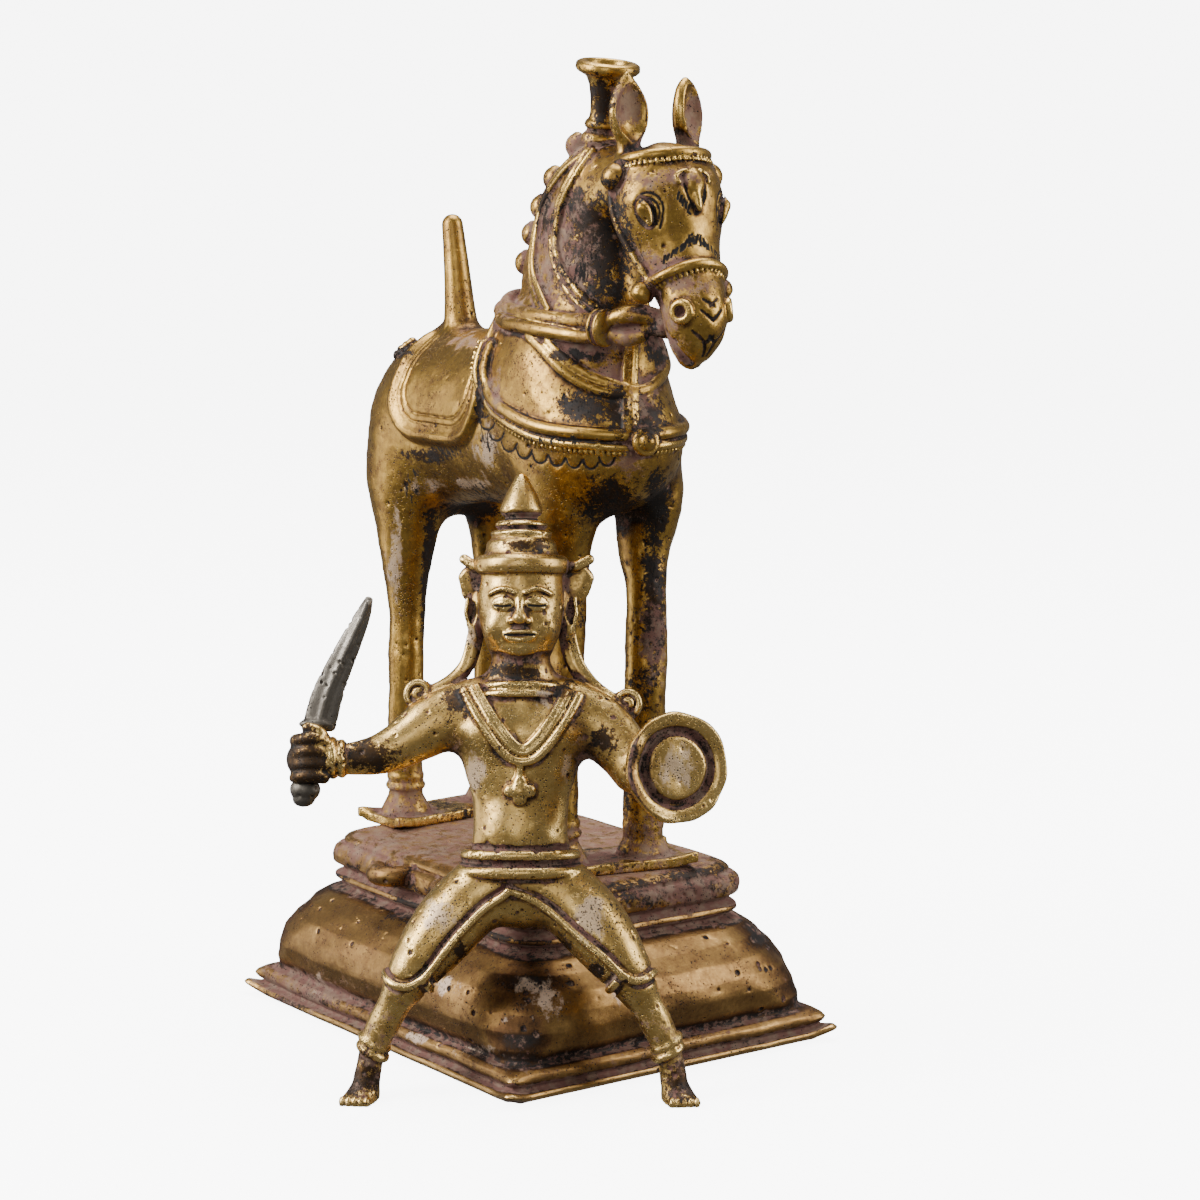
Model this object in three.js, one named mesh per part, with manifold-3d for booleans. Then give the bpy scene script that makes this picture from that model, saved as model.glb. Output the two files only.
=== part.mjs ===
// A cast brass horse on a stepped, cushion-shaped plinth, with its loose rider standing in front of it.
// Millimetres, +Z up. The horse faces -Y and its left side is +X.

import * as THREE from 'three';
import { mergeVertices } from 'three/addons/utils/BufferGeometryUtils.js';
import Module from 'manifold-3d';

const wasm = await Module();
wasm.setup();

// Driving dimensions

const plinthLength = 137;
const plinthWidth = 109;
const plinthHeight = 50;
const blockInset = 17.7;
const plateThickness = 2.4;

const backHeight = 193;
const bellyHeight = 146;
const torsoHalfWidth = 22.5;
const footTop = plinthHeight + plateThickness + 0.3;
const headYaw = 5;
const headOrigin = new THREE.Vector3(1, -57, 240);

const riderLean = 11;
const riderTurn = -36.55;
const riderFeet = new THREE.Vector3(-48.15, -63.4, 0);
const shieldRadius = 13.6;
const gap = 0.3;

const bodySides = 12;
const limbSides = 6;
const strapSides = 4;

const X = new THREE.Vector3(1, 0, 0);
const Y = new THREE.Vector3(0, 1, 0);
const Z = new THREE.Vector3(0, 0, 1);
const v = (x, y, z) => new THREE.Vector3(x, y, z);
const radians = THREE.MathUtils.degToRad;

// Solids: joining, cutting and turning back into geometry

function toSolid(geometry) {
  const bare = geometry.index ? geometry.clone() : geometry;
  bare.deleteAttribute('normal');
  bare.deleteAttribute('uv');
  const merged = mergeVertices(bare, 1e-4);
  const place = merged.attributes.position.array;
  const faces = [];
  const all = merged.index.array;
  for (let i = 0; i < all.length; i += 3) {
    const [a, b, c] = [all[i], all[i + 1], all[i + 2]];
    if (a !== b && b !== c && c !== a) faces.push(a, b, c);
  }
  let volume = 0;
  const at = (i) => v(place[3 * i], place[3 * i + 1], place[3 * i + 2]);
  for (let i = 0; i < faces.length; i += 3) {
    volume += at(faces[i]).dot(at(faces[i + 1]).cross(at(faces[i + 2])));
  }
  if (volume < 0) faces.reverse();
  return new wasm.Manifold(new wasm.Mesh({
    numProp: 3,
    vertProperties: Float32Array.from(place),
    triVerts: Uint32Array.from(faces),
  }));
}

function toGeometry(solid) {
  const mesh = solid.getMesh();
  const geometry = new THREE.BufferGeometry();
  geometry.setAttribute('position', new THREE.BufferAttribute(Float32Array.from(mesh.vertProperties), 3));
  geometry.setIndex(new THREE.BufferAttribute(Uint32Array.from(mesh.triVerts), 1));
  geometry.computeVertexNormals();
  return geometry;
}

function join(geometries) {
  return geometries.map(toSolid).reduce((whole, next) => whole.add(next));
}

// Shapes: a skin over rings of points, and what is made with it

function skin(rings) {
  const count = rings[0].length;
  const points = rings.flat();
  const index = [];
  for (let i = 0; i + 1 < rings.length; i += 1) {
    for (let j = 0; j < count; j += 1) {
      const next = (j + 1) % count;
      const [a, b, c, d] = [i * count + j, i * count + next, (i + 1) * count + next, (i + 1) * count + j];
      index.push(a, b, c, a, c, d);
    }
  }
  for (const [ring, flip] of [[0, true], [rings.length - 1, false]]) {
    const centre = new THREE.Vector3();
    rings[ring].forEach((p) => centre.addScaledVector(p, 1 / count));
    points.push(centre);
    for (let j = 0; j < count; j += 1) {
      const pair = [ring * count + j, ring * count + ((j + 1) % count)];
      if (flip) pair.reverse();
      index.push(pair[0], pair[1], points.length - 1);
    }
  }
  const geometry = new THREE.BufferGeometry().setFromPoints(points);
  geometry.setIndex(index);
  return geometry;
}

// Catmull-Rom through rows of numbers of any length
function smooth(rows, steps) {
  const row = (i) => rows[Math.min(Math.max(i, 0), rows.length - 1)];
  return Array.from({ length: steps + 1 }, (_, s) => {
    const place = (s / steps) * (rows.length - 1);
    const i = Math.min(Math.floor(place), rows.length - 2);
    const t = place - i;
    return rows[0].map((_, k) => {
      const [a, b, c, d] = [row(i - 1)[k], row(i)[k], row(i + 1)[k], row(i + 2)[k]];
      return b + 0.5 * t * (c - a + t * (2 * a - 5 * b + 4 * c - d + t * (3 * (b - c) + d - a)));
    });
  });
}

// A limb through rows of x, y, z, half-width along side and half-depth across it, with domed ends.
// An egg-shaped one is narrower towards its back.
function limb(rows, { steps = rows.length - 1, sides = limbSides, side = X, dome = 0.5, egg = 0 } = {}) {
  const path = smooth(rows, steps);
  const centres = path.map(([x, y, z]) => v(x, y, z));
  const ring = (centre, tangent, wide, deep) => {
    const across = side.clone().addScaledVector(tangent, -side.dot(tangent)).normalize();
    const through = tangent.clone().cross(across);
    return Array.from({ length: sides }, (_, j) => {
      const angle = (2 * Math.PI * j) / sides;
      return centre.clone()
        .addScaledVector(across, wide * Math.cos(angle) * (1 - egg * Math.sin(angle)))
        .addScaledVector(through, deep * Math.sin(angle));
    });
  };
  const tangents = centres.map((_, i) => {
    const before = centres[Math.max(i - 1, 0)];
    const after = centres[Math.min(i + 1, centres.length - 1)];
    return after.clone().sub(before).normalize();
  });
  const rings = path.map((row, i) => ring(centres[i], tangents[i], row[3], row[4]));
  if (dome > 0) {
    const cap = (i, sign) => {
      const [wide, deep] = [path[i][3], path[i][4]];
      const rise = sign * dome * 0.8 * Math.min(wide, deep);
      const centre = centres[i].clone().addScaledVector(tangents[i], rise);
      return ring(centre, tangents[i], wide * 0.6, deep * 0.6);
    };
    rings.unshift(cap(0, -1));
    rings.push(cap(path.length - 1, 1));
  }
  return skin(rings);
}

function cord(points, radius, { flat = 1, side = Z, sides = strapSides } = {}) {
  return limb(points.map((p) => [p.x, p.y, p.z, radius, radius * flat]), { sides, side, dome: 0 });
}

function turned(profile, segments, matrix) {
  const outline = profile.map(([r, z]) => new THREE.Vector2(r, z));
  const geometry = new THREE.LatheGeometry(outline, segments);
  geometry.rotateX(Math.PI / 2);
  return matrix ? geometry.applyMatrix4(matrix) : geometry;
}

function ball(radius, centre, [sx, sy, sz] = [1, 1, 1], [wide, high] = [6, 4]) {
  const geometry = new THREE.SphereGeometry(radius, wide, high);
  geometry.scale(sx, sy, sz);
  return geometry.translate(centre.x, centre.y, centre.z);
}

// A round boss lying on a surface, its dome towards the outward direction
function boss(radius, height, centre, outward) {
  const turn = new THREE.Matrix4().makeRotationFromQuaternion(
    new THREE.Quaternion().setFromUnitVectors(Z, outward.clone().normalize()));
  turn.setPosition(centre);
  const profile = [[0, -1.2], [radius, -1.2], [radius, height * 0.4], [radius * 0.55, height], [0, height]];
  return turned(profile, 6, turn);
}

// Straps lie on the figure: each point is the first one met from outside towards the hoop's centre
function hoop(skins, centre, normal, first, { from = 0, to = 360, steps = 16, out = 0 }) {
  const u = first.clone().addScaledVector(normal, -first.dot(normal)).normalize();
  const w = normal.clone().cross(u);
  const caster = new THREE.Raycaster();
  const points = [];
  for (let i = 0; i <= steps; i += 1) {
    const angle = radians(from + ((to - from) * i) / steps);
    const away = u.clone().multiplyScalar(Math.cos(angle)).addScaledVector(w, Math.sin(angle));
    caster.set(centre.clone().addScaledVector(away, 90), away.clone().negate());
    const hit = caster.intersectObjects(skins, false)[0];
    if (hit) points.push(hit.point.clone().addScaledVector(away, out));
  }
  return points;
}

// A strap's guide points, smoothed and laid on the figure: each is met from outside on its way to the centre
function drape(skins, guides, centre, steps, out) {
  const caster = new THREE.Raycaster();
  return smooth(guides.map((p) => p.toArray()), steps).map(([x, y, z]) => {
    const away = v(x, y, z).sub(centre).normalize();
    caster.set(centre.clone().addScaledVector(away, 120), away.clone().negate());
    const hit = caster.intersectObjects(skins, false)[0];
    return hit ? hit.point.clone().addScaledVector(away, out) : v(x, y, z);
  });
}

// Plinth

// One level of the plinth: how far its sides lie inside the outline, its corner radius, how much its sides
// swell, and how far its corners are drawn out and up
function plinthRing(z, inset, corner, swell = 0, tip = 0, lift = 0) {
  const [a, b] = [plinthWidth / 2 - inset, plinthLength / 2 - inset];
  const points = [];
  for (let quarter = 0; quarter < 4; quarter += 1) {
    const [sx, sy] = [[1, -1], [1, 1], [-1, 1], [-1, -1]][quarter];
    const [cx, cy] = [sx * (a - corner), sy * (b - corner)];
    const start = radians(-90 + 90 * quarter);
    for (let i = 0; i <= 4; i += 1) {
      const angle = start + radians(22.5 * i);
      const peak = Math.max(0, 1 - Math.abs(i - 2) / 2);
      const reach = corner + tip * peak;
      points.push(v(cx + reach * Math.cos(angle), cy + reach * Math.sin(angle), z + lift * peak));
    }
    const end = start + radians(90);
    const [px, py] = [cx + corner * Math.cos(end), cy + corner * Math.sin(end)];
    const [nx, ny] = quarter % 2 === 0 ? [px, -py] : [-px, py];
    points.push(v((px + nx) / 2 + swell * Math.cos(end), (py + ny) / 2 + swell * Math.sin(end), z));
  }
  return points;
}

function makePlinth() {
  const levels = [
    [0, 6, 6],
    [0.6, 4.2, 5, -1.2, 1, 2.6],
    [2.8, 2.2, 3, -1.4, 1.9, 2],
    [5.2, 3.6, 4, -0.4, 0.8, 1],
    [8.2, 2.6, 5, 0.2],
    [9.8, 4.8, 8, 0.4],
    [18, 5, 11, 2],
    [26, 8.2, 12, 2],
    [33.6, 14.8, 11, 0.8],
    [35.6, blockInset + 0.6, 9],
    [37.6, blockInset - 0.9, 8],
    [39.6, blockInset + 0.8, 8],
    [43, blockInset - 1, 8, 0.6],
    [47.6, blockInset + 0.8, 9, 0.3],
    [plinthHeight, blockInset + 4, 9],
  ];
  const side = -plinthWidth / 2 + blockInset;
  const lug = new THREE.TorusGeometry(4.2, 1.7, 4, 8).translate(side - 1.6, 12, 43.6);
  const stub = ball(3, v(side, -10, 44.2), [1, 2.2, 0.9]);
  return join([skin(levels.map((level) => plinthRing(...level))), lug, stub]);
}

// Horse

const torsoRows = [
  [0, 65, 165, 9, 12],
  [0, 60, 165.5, 16, 19.5],
  [0, 50, 166, 21, 25.5],
  [0, 36, (backHeight + 142) / 2, torsoHalfWidth, 25.5],
  [0, 20, (backHeight + bellyHeight) / 2, 21.5, 23.8],
  [0, 4, 170.5, 21, 24.5],
  [0, -12, 171, 22, 25],
  [0, -26, 170.5, 23.5, 24],
  [0, -38, 169, 21.5, 21],
  [0, -48, 169, 13.5, 14.5],
  [0, -52.5, 169.5, 5, 6],
];

function torso(grow = 0) {
  const rows = torsoRows.map(([x, y, z, wide, deep]) => [x, y, z, wide + grow, deep + grow]);
  return limb(rows, { steps: 8, sides: bodySides, dome: 0.3 });
}

const neckRows = [
  [0, -14, 168, 17, 22],
  [0, -18, 181, 22.5, 31.5],
  [0, -18.5, 193, 21.5, 30.5],
  [0, -20, 200, 15, 27.5],
  [0, -22, 208, 12.4, 24],
  [0, -25, 217, 11, 20.4],
  [0, -28, 226, 10.2, 18.4],
  [0, -34, 234, 10.2, 16],
  [1, -45, 238, 11, 11],
  [1, -54, 238.5, 10, 9],
];

// The head's rows are forward from the poll, height above it, half-width and half-depth
const headRows = [
  [1.5, 1.6, 9, 9],
  [3.5, -1.8, 13, 12.4],
  [5, -7, 14.2, 12.6],
  [6.5, -13, 13.2, 11],
  [8.5, -19, 11.6, 9.6],
  [12.5, -26, 9.8, 8.6],
  [16.5, -32, 8.8, 8.2],
  [18.4, -38, 8.2, 8.8],
  [17, -44, 6.4, 8],
  [15.5, -49, 4, 4.6],
];

const headMatrix = new THREE.Matrix4().makeRotationZ(radians(-headYaw)).setPosition(headOrigin);
const onHead = (side, forward, up) => v(side, -forward, up).applyMatrix4(headMatrix);

function head() {
  const rows = headRows.map(([forward, up, wide, deep]) => [0, -forward, up, wide, deep]);
  return limb(rows, { steps: 8, sides: 9 }).applyMatrix4(headMatrix);
}

// Each leg stands on its foot and rises through the knee to a hip inside the body
const legs = [
  { foot: [-13.7, 45], knee: [-11.5, 45.5], hip: [-11, 46], thigh: [10.5, 15] },
  { foot: [15, 47], knee: [14.5, 47], hip: [11, 46], thigh: [10.5, 15] },
  { foot: [-6.5, -31.5], knee: [-9.5, -31], hip: [-12, -28], thigh: [10.5, 13] },
  { foot: [13.8, -36], knee: [15, -35], hip: [14, -30], thigh: [10, 13] },
];

function leg({ foot, knee, hip, thigh }) {
  const rows = [
    [foot[0], foot[1], footTop + 9, 3.9, 4.2],
    [foot[0], foot[1], footTop + 24, 4.0, 4.4],
    [foot[0] * 0.6 + knee[0] * 0.4, foot[1], 96, 4.4, 5],
    [knee[0], knee[1], 112, 5.1, 5.6],
    [knee[0], knee[1], 126, 6.4, 6.9],
    [hip[0], hip[1], 139, 9, 11],
    [hip[0], hip[1], 152, thigh[0], thigh[1]],
    [hip[0] * 0.9, hip[1] * 0.96, 166, thigh[0] - 0.5, thigh[1]],
  ];
  return limb(rows, { steps: 6, dome: 0 });
}

// A ring collar, a waist and a flaring cup at the bottom of each leg
function hoof([x, y]) {
  const profile = [
    [0, -0.9], [7.2, -0.9], [7.2, 1], [4.2, 6.6], [5.4, 9], [4.9, 12], [0, 12],
  ];
  return turned(profile, 6, new THREE.Matrix4().makeTranslation(x, y, footTop));
}

// A thin plate with its corners drawn out and turned up
function footPlate([x, y], halfWidth, halfDepth, turn) {
  const ring = (z, shrink) => {
    const [wide, deep] = [halfWidth - shrink, halfDepth - shrink];
    const tip = v(wide + 2, -deep - 2, z + 1.6);
    const quarter = [v(0, -deep, z), v(wide * 0.62, -deep, z), tip, v(wide, -deep * 0.4, z)];
    const half = quarter.concat([...quarter].reverse().slice(0, 3).map((p) => v(p.x, -p.y, p.z)));
    const back = half.slice(1, 6).reverse().map((p) => v(-p.x, p.y, p.z));
    return [...half, v(0, deep, z), ...back];
  };
  const plate = skin([ring(0, 1), ring(plateThickness, 0)]);
  return plate.rotateZ(radians(turn)).translate(x, y, plinthHeight + gap);
}

const knobs = [[-24.5, 244.4], [-12.2, 236], [-5.4, 228.8], [-1, 221.6], [3.6, 213.4]];

function ear(side, turn, narrow) {
  const rows = [
    [0, 0, -4, 3.6, 3],
    [0, 0, 1.5, 3, 2.6],
    [0, 0, 6, 5.8 * narrow, 3.2],
    [0, 0.2, 10.5, 5.8 * narrow, 2.6],
    [0, 0.8, 17, 1.1, 1],
  ];
  const scoop = ball(1, v(0, -3.6, 9), [4.3 * narrow, 3.2, 6.6]);
  const cup = toSolid(limb(rows, { sides: 6, dome: 0.3 })).subtract(toSolid(scoop));
  return toGeometry(cup).rotateZ(radians(turn)).translate(side * 8.4, 1, 6.4).applyMatrix4(headMatrix);
}

// The saddle cloth is the torso's skin thickened inside a round-ended flap, with its border raised again
function saddleCloth() {
  const flap = (edge) => {
    const [front, back, top, low] = [-7 + edge, 41 - edge, backHeight + 8, 163 + edge];
    const round = 15;
    const outline = new THREE.Shape();
    outline.moveTo(front, top);
    outline.lineTo(back, top);
    outline.lineTo(back, low + round);
    outline.quadraticCurveTo(back, low, back - round, low);
    outline.lineTo(front + round, low);
    outline.quadraticCurveTo(front, low, front, low + round);
    outline.closePath();
    const slab = new THREE.ExtrudeGeometry(outline, { depth: 60, bevelEnabled: false, curveSegments: 2 });
    return toSolid(slab.applyMatrix4(new THREE.Matrix4().makeBasis(Y, Z, X)).translate(-30, 0, 0));
  };
  const rim = flap(0).subtract(flap(3.4));
  return toSolid(torso(0.9)).intersect(flap(1)).add(toSolid(torso(2.1)).intersect(rim));
}

function plumeHolder() {
  const profile = [
    [0, 0], [5, 0], [5, 3], [3.8, 4.4], [4.8, 5.8], [3.6, 7.4], [4.6, 15], [8.1, 20], [8.1, 21.8],
    [5.8, 21.8], [5, 19.8], [0, 19.8],
  ];
  return turned(profile, 9, new THREE.Matrix4().makeRotationX(radians(9)).setPosition(0, -32.6, 245));
}

function harness(torsoSkin, neckSkin, headSkin) {
  const body = [torsoSkin, neckSkin];
  const sides = [1, -1];
  const guides = (side, rows) => rows.map(([x, y, z]) => v(side * x, y, z));
  const chest = [[0, -52, 169], [11, -42, 169], [20, -27, 171], [22, -14, 177], [21, -2, 185], [18, 2, 192]];
  const collar = [[0, -52, 180], [12, -45, 183.5], [20, -33, 190], [21, -22, 195]];
  const strip = [[8, -40, 242], [9.5, -26, 232], [11, -15, 218], [12, -9, 206]];
  const rein = [[0, 8.5, 203.5], [10, 1, 201.5], [14.5, -14, 199.5], [15.5, -32, 200], [13.5, -52, 201]];
  const straps = [];
  for (const side of sides) {
    straps.push(cord(drape(body, guides(side, chest), v(0, -12, 172), 6, 0.3), 3, { flat: 0.6 }));
    straps.push(cord(drape(body, guides(side, collar), v(0, -18, 188), 4, 0.2), 1.8));
    straps.push(cord(drape([neckSkin], guides(side, strip), v(0, -24, 216), 4, 0.1), 1.4));
    for (const drop of [0, 4]) {
      straps.push(cord(guides(side, rein.map(([x, y, z]) => [x, y, z - drop])), 2.3));
    }
    straps.push(...reinKnot(side), ...bridle(side, headSkin));
  }
  const front = [v(0, -46, 197), v(0, -50, 186), v(0, -52, 172)];
  straps.push(cord(drape(body, front, v(0, -18, 185), 3, 0.2), 2, { side: X, flat: 0.7 }));
  straps.push(boss(3.6, 3.4, v(0, -54, 169), v(0, -1, 0)));
  const around = { from: 180, to: 360, steps: 8 };
  straps.push(cord(hoop([headSkin], onHead(0, 2, -1.6), v(0, 0.36, 1).normalize(), X, around), 1.8));
  straps.push(cord(hoop([headSkin], onHead(0, 15, -30.5), v(0, 0.5, 1).normalize(), X, around), 1.6));
  return straps;
}

// The rein ends in a ring collar and a knot beside the jaw
function reinKnot(side) {
  const collar = [[side * 13.6, -51, 199.5, 4.4, 4.4], [side * 13.2, -54.5, 199.8, 4.4, 4.4]];
  const knot = [
    [side * 12, -55, 200, 3.4, 3.6],
    [side * 10.5, -61, 201, 4.6, 4.2],
    [side * 8.5, -66, 202.5, 3.4, 3.4],
  ];
  return [limb(collar, { dome: 0.3 }), limb(knot)];
}

// Cheek strap, its two bosses, the nostril ring and the eye of one side
function bridle(side, headSkin) {
  const cheek = [[15, -1, -3], [13.5, 2, -17], [11, 7, -26], [10, 11, -31]]
    .map(([out, forward, up]) => onHead(side * out, forward, up));
  return [
    cord(drape([headSkin], cheek, onHead(0, 10, -16), 4, 0), 1.5),
    boss(3.4, 4.4, onHead(side * 12.4, 0, -1), v(side, 0.15, 0)),
    boss(2.8, 2.8, onHead(side * 9.4, 12.3, -30.8), v(side, -0.2, 0)),
    boss(3.1, 1.8, onHead(side * 6.2, 23, -36.5), v(side, -0.9, 0.1)),
    ball(3.1, onHead(side * 11.2, 11.5, -10.8), [0.7, 1, 0.8]),
  ];
}

function makeHorse() {
  const body = [torso(), limb(neckRows, { steps: 8, sides: bodySides, dome: 0, egg: 0.18 }), head()];
  const skins = body.map((geometry) => new THREE.Mesh(geometry));
  skins.forEach((mesh) => mesh.updateMatrixWorld());
  const pieces = [...body, ...harness(...skins)];
  for (const part of legs) pieces.push(leg(part), hoof(part.foot));
  pieces.push(footPlate([0.5, 46], 22, 8.4, 4), footPlate([4.2, -33.4], 18.5, 10, -13));
  pieces.push(plumeHolder(), ear(-1, 4, 1), ear(1.18, 50, 0.85));
  knobs.forEach(([y, z]) => pieces.push(ball(3, v(0, y, z), [0.9, 1, 1], [5, 4])));
  const peg = [[0, 33.6, 189, 5.4, 5.2], [0, 34.6, 201, 3.8, 3.8], [0, 38, 223, 2.6, 2.6]];
  const tail = [
    [0, 63, 180, 3.4, 3.4], [0, 69, 174, 3.8, 3.6], [0, 71.5, 158, 4.4, 4], [0, 70.5, 140, 4.2, 3.8],
    [0, 68, 124, 2.4, 2.2],
  ];
  pieces.push(limb(peg), limb(tail, { sides: 6 }));
  return join(pieces).add(saddleCloth());
}

// Rider, in a frame of its own: +X to its left hand, +Y to its back, +Z from its feet to its head

const riderMatrix = new THREE.Matrix4().makeRotationZ(radians(riderTurn))
  .multiply(new THREE.Matrix4().makeRotationX(radians(-riderLean)))
  .setPosition(riderFeet);

const riderTorso = [
  [0, 1, 51.5, 8, 6.5],
  [0, 1, 57, 15.5, 8.4],
  [0, -0.3, 66, 12.8, 7.4],
  [0, -0.2, 78, 12.6, 7.5],
  [0, 0, 89, 15.4, 8.4],
  [0, 0.5, 98, 18, 8.4],
  [0, 1, 104, 16.4, 7],
  [0, 1.5, 109, 9.4, 6],
];

const riderHead = [
  [0, -1.5, 118, 6, 6],
  [0, -1.2, 121.5, 9.2, 8.8],
  [0, -0.5, 128, 10.8, 10.2],
  [0, 0, 136, 10.9, 10.6],
  [0, 0.5, 141, 9.5, 9.5],
];

const turban = [
  [0, 136], [11.2, 136], [12.4, 139.8], [11, 143.2], [8.4, 143.4], [8.8, 146], [8.2, 149], [5.4, 150.4],
  [5.9, 155], [4.6, 159], [0, 164],
];

function riderLimbs(side) {
  const at = (rows) => rows.map(([x, ...rest]) => [side * x, ...rest]);
  const thigh = [
    [6, 2, 58, 8.6, 8], [14.5, 0.5, 51, 9.4, 8.8], [21.4, -1, 43, 8.8, 8.4], [27, -1.6, 35.5, 7, 7],
    [30, -1.4, 30.6, 5.6, 5.8],
  ];
  const shin = [
    [28, -1.4, 34, 4.6, 4.6], [35.6, 1, 20.5, 4.3, 4.3], [38.6, 2.4, 13, 3.8, 4], [40, 3, 6.5, 4, 4.4],
    [41.6, 2.8, -4, 4.2, 5.4],
  ];
  const streamer = [[10.6, 3.5, 131], [12, 3.5, 122], [14, 3.5, 114.5], [19, 2.6, 109.4], [28, 1, 106.6]];
  return [
    limb(at(thigh), { dome: 0 }),
    limb(at(shin), { dome: 0 }),
    new THREE.TorusGeometry(4.3, 1.1, 4, 7).rotateY(radians(side * 12)).translate(side * 38, 2.2, 14.8),
    cord(streamer.map(([x, y, z]) => v(side * x, y, z)), 2.4),
    new THREE.TorusGeometry(2, 1.2, 4, 6).rotateX(radians(80)).translate(side * 28.6, 0.6, 106),
    limb([[side * 9, 3, 131, 1.6, 2.6], [side * 13.6, 2.4, 136.6, 1.4, 3.2], [side * 17, 1.8, 140, 0.8, 1.2]],
      { sides: 5, side: Y, dome: 0 }),
    ball(1, v(side * 11.4, 2, 127), [2, 2.6, 5.6], [5, 4]),
  ];
}

// The arm that holds the sword: a loose sleeve ring at the wrist and a closed fist
function swordArm() {
  const arm = [
    [-13, 1, 103, 7, 6.4], [-22, 0.4, 100.4, 6.4, 5.8], [-30, -0.5, 94.8, 5.2, 4.8],
    [-38, -1.5, 90.6, 4.4, 4.2], [-47, -2.6, 89, 3.4, 3.4],
  ];
  const cuff = [[0, -2.4], [4.9, -2.4], [5.4, 0], [4.9, 2.4], [0, 2.4]];
  return [
    limb(arm, { side: Z, dome: 0 }),
    turned(cuff, 7, new THREE.Matrix4().makeRotationY(Math.PI / 2).setPosition(-48.6, -2.8, 89.6)),
    ball(1, v(-54.2, -3, 89.6), [5.6, 5.8, 6.8], [7, 5]),
  ];
}

// The other arm, bent behind a round shield with a rolled rim and a domed middle
function shieldArm() {
  const arm = [
    [13, 1, 103, 7, 6.4], [21, 0, 99.8, 6.4, 5.8], [27, -1.5, 92.5, 5.4, 5.2], [30.6, -4, 86.5, 4.6, 4.6],
    [40, -7.5, 87.4, 3.6, 3.6],
  ];
  const disc = [
    [0, -2], [9, -2], [shieldRadius - 0.2, 0], [shieldRadius - 0.6, 2.4],
    [10.6, 1], [8.6, 2.2], [5, 4.2], [0, 4.6],
  ];
  const facing = new THREE.Matrix4().makeRotationZ(radians(20))
    .multiply(new THREE.Matrix4().makeRotationX(Math.PI / 2)).setPosition(40, -11, 87.4);
  return [limb(arm, { side: Z, dome: 0 }), turned(disc, 11, facing)];
}

function belt() {
  const rows = [[0, 0.4, 59, 15, 9.2], [0, 0.3, 62, 15, 9.2], [0, 0.2, 66, 13.6, 8.4]];
  return limb(rows, { sides: 10, dome: 0 });
}

function jewellery(chestSkin) {
  const necklace = [[-11, -4, 107], [-6, -8, 97], [0, -9, 87.5], [6, -8, 97], [11, -4, 107]]
    .map((p) => v(...p));
  return [
    limb([[0, 1.2, 107, 10.8, 8.4], [0, 1, 109.6, 10.2, 8.6]], { sides: 8, dome: 0 }),
    cord(drape([chestSkin], necklace, v(0, 0, 94), 6, 0.2), 2.1, { flat: 0.55 }),
    boss(3.2, 1.4, v(0, -8, 82.4), v(0, -1, 0)),
  ];
}

// A calm, regular face: closed lids, straight nose and lips
function faceParts() {
  const nose = [[0, -9.6, 130.5, 1, 1], [0, -10.6, 127.6, 1.3, 1.4], [0, -10.8, 125.6, 2, 1.8]];
  const lips = ball(1, v(0, -9.2, 121.8), [3, 1.3, 1]);
  const eyes = [-1, 1].map((side) => ball(1, v(side * 4.3, -9.2, 129.4), [2.4, 1.3, 1.3]));
  return [limb(nose, { sides: 5, dome: 0.6 }), lips, ...eyes];
}

function makeRider() {
  const chest = limb(riderTorso, { sides: 10, dome: 0.3 });
  const chestSkin = new THREE.Mesh(chest.clone());
  chestSkin.updateMatrixWorld();
  const pieces = [
    chest,
    turned(turban, 9, new THREE.Matrix4().makeTranslation(0, 0.5, 0)),
    limb([[0, 1.5, 105, 8.2, 7.4], [0, 0.4, 121, 7.8, 7.8]], { sides: 8, dome: 0 }),
    limb(riderHead, { sides: 10 }),
    belt(),
    ...jewellery(chestSkin),
    ...faceParts(),
    ...swordArm(),
    ...shieldArm(),
    ...riderLimbs(-1),
    ...riderLimbs(1),
  ];
  const floor = new THREE.BoxGeometry(200, 200, 40).translate(0, 0, -20);
  const hilt = toSolid(swordHilt(gap).applyMatrix4(riderMatrix));
  const placed = pieces.map((geometry) => geometry.applyMatrix4(riderMatrix));
  return join(placed).subtract(toSolid(floor)).subtract(hilt);
}

// Sword

const grip = [[-53.2, -3, 98.5, 2, 1.8], [-54.4, -3, 91, 2, 1.8], [-55.8, -3, 81.5, 2, 1.8]];

function swordHilt(grow) {
  const rows = grip.map(([x, y, z, wide, deep]) => [x, y, z, wide + grow, deep + grow]);
  return limb(rows, { sides: 6, dome: 0 });
}

function makeSword() {
  const blade = [
    [-53.3, -3, 98, 3.6, 1.3], [-52.6, -3, 104, 4, 1.2], [-50, -3, 112, 3.6, 1], [-45.4, -3, 121, 2.7, 0.9],
    [-40.6, -3, 130.4, 1, 0.7],
  ];
  const guard = ball(1, v(-53.4, -3, 98.4), [4, 2.2, 1.4]);
  const pommel = ball(1, v(-56.2, -3, 79.8), [4.4, 3.2, 3.4], [7, 5]);
  const pieces = [limb(blade, { sides: 6 }), guard, pommel, swordHilt(0)];
  return join(pieces.map((geometry) => geometry.applyMatrix4(riderMatrix)));
}

const parts = [
  ['plinth', makePlinth(), 0x7a5a30],
  ['horse', makeHorse(), 0x9a7a38],
  ['rider', makeRider(), 0xa98a4a],
  ['sword', makeSword(), 0x4a4a46],
];

const group = new THREE.Group();
for (const [name, solid, color] of parts) {
  const material = new THREE.MeshStandardMaterial({ color, roughness: 0.35, metalness: 1 });
  const mesh = new THREE.Mesh(toGeometry(solid), material);
  mesh.name = name;
  group.add(mesh);
}

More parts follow.
